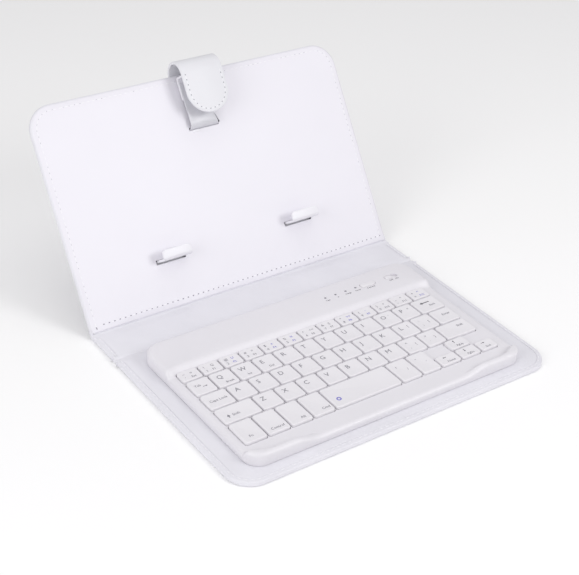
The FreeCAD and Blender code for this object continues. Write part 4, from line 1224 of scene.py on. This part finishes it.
# %% Bent strips
def on_path(start, heading, path, distance):
    """Place and heading at a distance along straights and arcs, each a (length, turn) pair."""
    s, d = start
    for n, (length, turn_by) in enumerate(path):
        step = distance if n == len(path) - 1 else min(distance, length)
        bend = math.radians(turn_by) / length
        if abs(bend) < 1e-9:
            s, d = s + step * math.cos(heading), d + step * math.sin(heading)
        else:
            end = heading + bend * step
            s += (math.sin(end) - math.sin(heading)) / bend
            d += (math.cos(heading) - math.cos(end)) / bend
            heading = end
        distance -= step
        if distance <= 0:
            break
    return s, d, heading


def roll(bm, start, heading_degrees, path):
    """Bend a flat strip along a path in the lid's side view."""
    for vert in bm.verts:
        s, d, heading = on_path(start, math.radians(heading_degrees), path, vert.co.y)
        thick = vert.co.z
        vert.co.y = s - math.sin(heading) * thick
        vert.co.z = d + math.cos(heading) * thick


def strip(bm, middle, width, path, thick, start_radius, end_radius, edge, pitch):
    """A flat strip as long as a path, with rounded ends and soft edges."""
    long = sum(length for length, turn_by in path)
    plate(bm, middle - width / 2, middle + width / 2, 0, long, -thick / 2, thick / 2,
          start_radius, end_radius, 12)
    soften(bm, flat_edges(bm, thick / 2) + flat_edges(bm, -thick / 2), edge, 4)
    slice_up(bm, 1, steps(0, long, pitch))
    return long


print("strips can be bent")

# %% [markdown]
# ## Hooks
# The lower hooks are bent from one wall: a foot inside the lid, an arm and a lip with rounded
# corners.  The upper hook is the same shape upside down, with a longer back plate.

# %% Hooks
HOOK_PATH = ((7.9, 0), (math.pi / 2, -90), (8.05, 0), (0.6 * math.pi, -90), (4.1, 0))
HOOK_WIDTH, HOOK_WALL = 18.0, 1.4
FOOT_CORNER, LIP_CORNER = 1.0, 2.2
bm = bmesh.new()
for middle in HOOK_MIDDLES:
    part = bmesh.new()
    strip(part, middle, HOOK_WIDTH, HOOK_PATH, HOOK_WALL, FOOT_CORNER, LIP_CORNER, 0.35, 0.5)
    roll(part, (36.0, -1.4), 180, HOOK_PATH)
    join(bm, part)
finish("lower_hooks", bm, HOOK_NYLON, "lid", ["bottom_hooks"], LID)

CLIP_PATH = ((11.5, 0), (0.6 * math.pi, 90), (5.25, 0), (0.6 * math.pi, 90), (5.0, 0))
CLIP_MIDDLE, CLIP_WIDTH, CLIP_WALL = 1.8, 19.8, 1.1
bm = bmesh.new()
strip(bm, CLIP_MIDDLE, CLIP_WIDTH, CLIP_PATH, CLIP_WALL, FOOT_CORNER, LIP_CORNER, 0.3, 0.5)
roll(bm, (109.5, 1.6), 0, CLIP_PATH)
finish("upper_hook", bm, HOOK_NYLON, "upper_hook", ["top_hook"], LID)
print("hooks made")

# %% [markdown]
# ## Elastic band
# The band comes out of its slit, bulges off the lining and runs up over the hook's plate, where it
# is sewn on.  Its left edge stands off and throws a thin shadow, and it spreads a little at its
# foot.  A small sealed end of the elastic lies below the slit.

# %% Elastic band
BAND_PATH = ((2.6, 0), (2.4, 68), (1.8, 0), (2.4, -68), (23.9, 0))
bm = bmesh.new()
BAND_WIDTH = BAND_RIGHT - BAND_LEFT
strip(bm, (BAND_LEFT + BAND_RIGHT) / 2, BAND_WIDTH, BAND_PATH, 0.7, 0.2, 0.2, 0.2, 0.6)
slice_up(bm, 0, steps(BAND_LEFT, BAND_RIGHT, 1.2))
for vert in bm.verts:
    free = ease((vert.co.y - 6.0) / 5.0) * ease((22.0 - vert.co.y) / 6.0)
    left_edge = ease((BAND_LEFT + 3.5 - vert.co.x) / 3.5)
    crown = 1 - ((2 * vert.co.x - BAND_LEFT - BAND_RIGHT) / BAND_WIDTH) ** 2
    vert.co.z += free * (0.5 * crown + 0.4 * left_edge)
    flare = BAND_FLARE * ease((13.0 - vert.co.y) / 9.0)
    vert.co.x += flare * (vert.co.x - BAND_LEFT) / BAND_WIDTH
roll(bm, (88.5, -1.6), 0, BAND_PATH)
band_foot = LID @ Vector((CLIP_MIDDLE, 94.0, 2.0)) * MM
band_head = LID @ Vector((CLIP_MIDDLE, 112.0, 2.0)) * MM
finish("satin_band", bm, SATIN_ELASTIC, "lid", ["top_band"], LID,
       ("upper_hook", tuple(band_foot), tuple(band_head)))
bm = bmesh.new()
plate(bm, BAND_LEFT + 1.3, BAND_LEFT + 5.7, 91.0, 92.5, -0.5, 0.5, 0.4, 0.4, 4)
soften(bm, flat_edges(bm, 0.5), 0.2, 3)
finish("band_end_tag", bm, HOOK_NYLON, "lid", (), LID)
print("band made")

# %% [markdown]
# ## Closing strap
# The strap is sewn to the lid's back, bends over the top edge and ends in a round tab.  It is two
# layers of leather glued together and stitched 2 mm inside the edge.

# %% Closing strap
STRAP_MIDDLE, STRAP_WIDTH, STRAP_THICK = 3.5, 26.4, 1.6
STRAP_PATH = ((31.2, 0), (7.7 * math.pi, 180), (24.4, 0))
STRAP_START = (92.0, -4.0)
TAB_RADIUS = 13.1
bend_foot = LID @ Vector((STRAP_MIDDLE, 123.2, -3.0)) * MM
bend_top = LID @ Vector((STRAP_MIDDLE, 123.2, 10.0)) * MM
STRAP_BLEND = ("strap", tuple(bend_foot), tuple(bend_top))
bm = bmesh.new()
strap_long = strip(bm, STRAP_MIDDLE, STRAP_WIDTH, STRAP_PATH, STRAP_THICK, 3.0, TAB_RADIUS, 0.55, 1.0)
roll(bm, STRAP_START, 0, STRAP_PATH)
finish("strap_leather", bm, STRAP_LEATHER, "lid", ["strap_band", "strap_tab"], LID,
       STRAP_BLEND)
SEAM_START = 55.5
seam_half = STRAP_WIDTH / 2 - SEAM
strap_row = edge_spots(STRAP_MIDDLE - seam_half, STRAP_MIDDLE + seam_half, SEAM, strap_long - SEAM,
                       1.5, TAB_RADIUS - SEAM, 2.9)
strap_row = [spot for spot in strap_row if spot[1] > SEAM_START]
strap_holes = needle_holes(between(strap_row, 0.44), -STRAP_THICK / 2 - 0.02, 0.34)
for name, bm, material in (
        ("strap_stitches", threads(strap_row, -STRAP_THICK / 2, 1.9, 0.5, 0.3), WHITE_THREAD),
        ("strap_needle_holes", strap_holes, NEEDLE_HOLE_SHADE)):
    roll(bm, STRAP_START, 0, STRAP_PATH)
    finish(name, bm, material, "lid", (), LID, STRAP_BLEND)
print("strap made")

# %% [markdown]
# ## Fold-out leg
# The leg is a stiff board wrapped in the same leather and stitched round its edge.  It is drawn in
# its own frame, with its hinge at the origin.

# %% Fold-out leg
LEG_SWING = math.radians(52.0)
LEG_CORNER, LEG_SEAM = 22.0, 2.4
LEG = LID @ Matrix.Translation((0, LEG_HINGE_UP, -LEG_HINGE_DEEP)) @ Matrix.Rotation(LEG_SWING, 4, "X")
bm = bmesh.new()
plate(bm, -LEG_HALF, LEG_HALF, -LEG_LONG, 0, -LEG_THICK / 2, LEG_THICK / 2, LEG_CORNER, 0.6, 14)
soften(bm, flat_edges(bm, LEG_THICK / 2) + flat_edges(bm, -LEG_THICK / 2), 0.75, 4)
slice_up(bm, 1, steps(-LEG_LONG, 0, 6.0))
finish("leg_leather", bm, OUTER_LEATHER, "leg", ["kickstand_leg"], LEG)
leg_row = edge_spots(LEG_SEAM - LEG_HALF, LEG_HALF - LEG_SEAM, LEG_SEAM - LEG_LONG, -LEG_SEAM,
                     LEG_CORNER - LEG_SEAM, 0.4)
finish("leg_stitches", threads(leg_row, -LEG_THICK / 2), WHITE_THREAD, "leg", (), LEG)
print("leg made")

# %% [markdown]
# ## Finishes of the carried-over CAD pieces
# The boards, the electronics and the small steel parts keep their CAD shapes.

# %% Finishes of the CAD pieces
# The lid's board takes a near-black painted shade, seen through its slits and the leg window.
CARRIED = {"base_board": GREY_BOARD, "spine_board": GREY_BOARD, "lid_board": SLIT_SHADE_BOARD,
           "catch_plate": NICKEL_STEEL, "keyboard_tray": SHELL_ABS, "keyboard_tape": FOAM_TAPE,
           # The dome sheet takes a charcoal painted shade that shows through the gaps round the keys.
           "support_plate": NICKEL_STEEL, "dome_sheet": GAP_SHADE_SILICONE, "battery": CELL_FILM,
           "circuit_board": SOLDER_MASK, "charging_socket": NICKEL_STEEL,
           "strap_magnet": NICKEL_STEEL}
for node, material in CARRIED.items():
    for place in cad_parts[node].material_slots:
        place.material = material
print("carried-over pieces:", len(CARRIED))

# %% [markdown]
# ## Floor
# The folio lies on a plain pale floor.

# %% Floor
FLOOR_PAPER, tree, shader = new_material("white_paper_floor", 0.8)
shader.inputs["Base Color"].default_value = (0.99, 0.99, 0.99, 1.0)
shader.inputs["Specular IOR Level"].default_value = 0.1
bm = bmesh.new()
bmesh.ops.create_grid(bm, x_segments=1, y_segments=1, size=4.0)
floor = place_in_scene("floor", mesh_of(bm, "floor"))
floor.data.materials.append(FLOOR_PAPER)
print("floor laid")
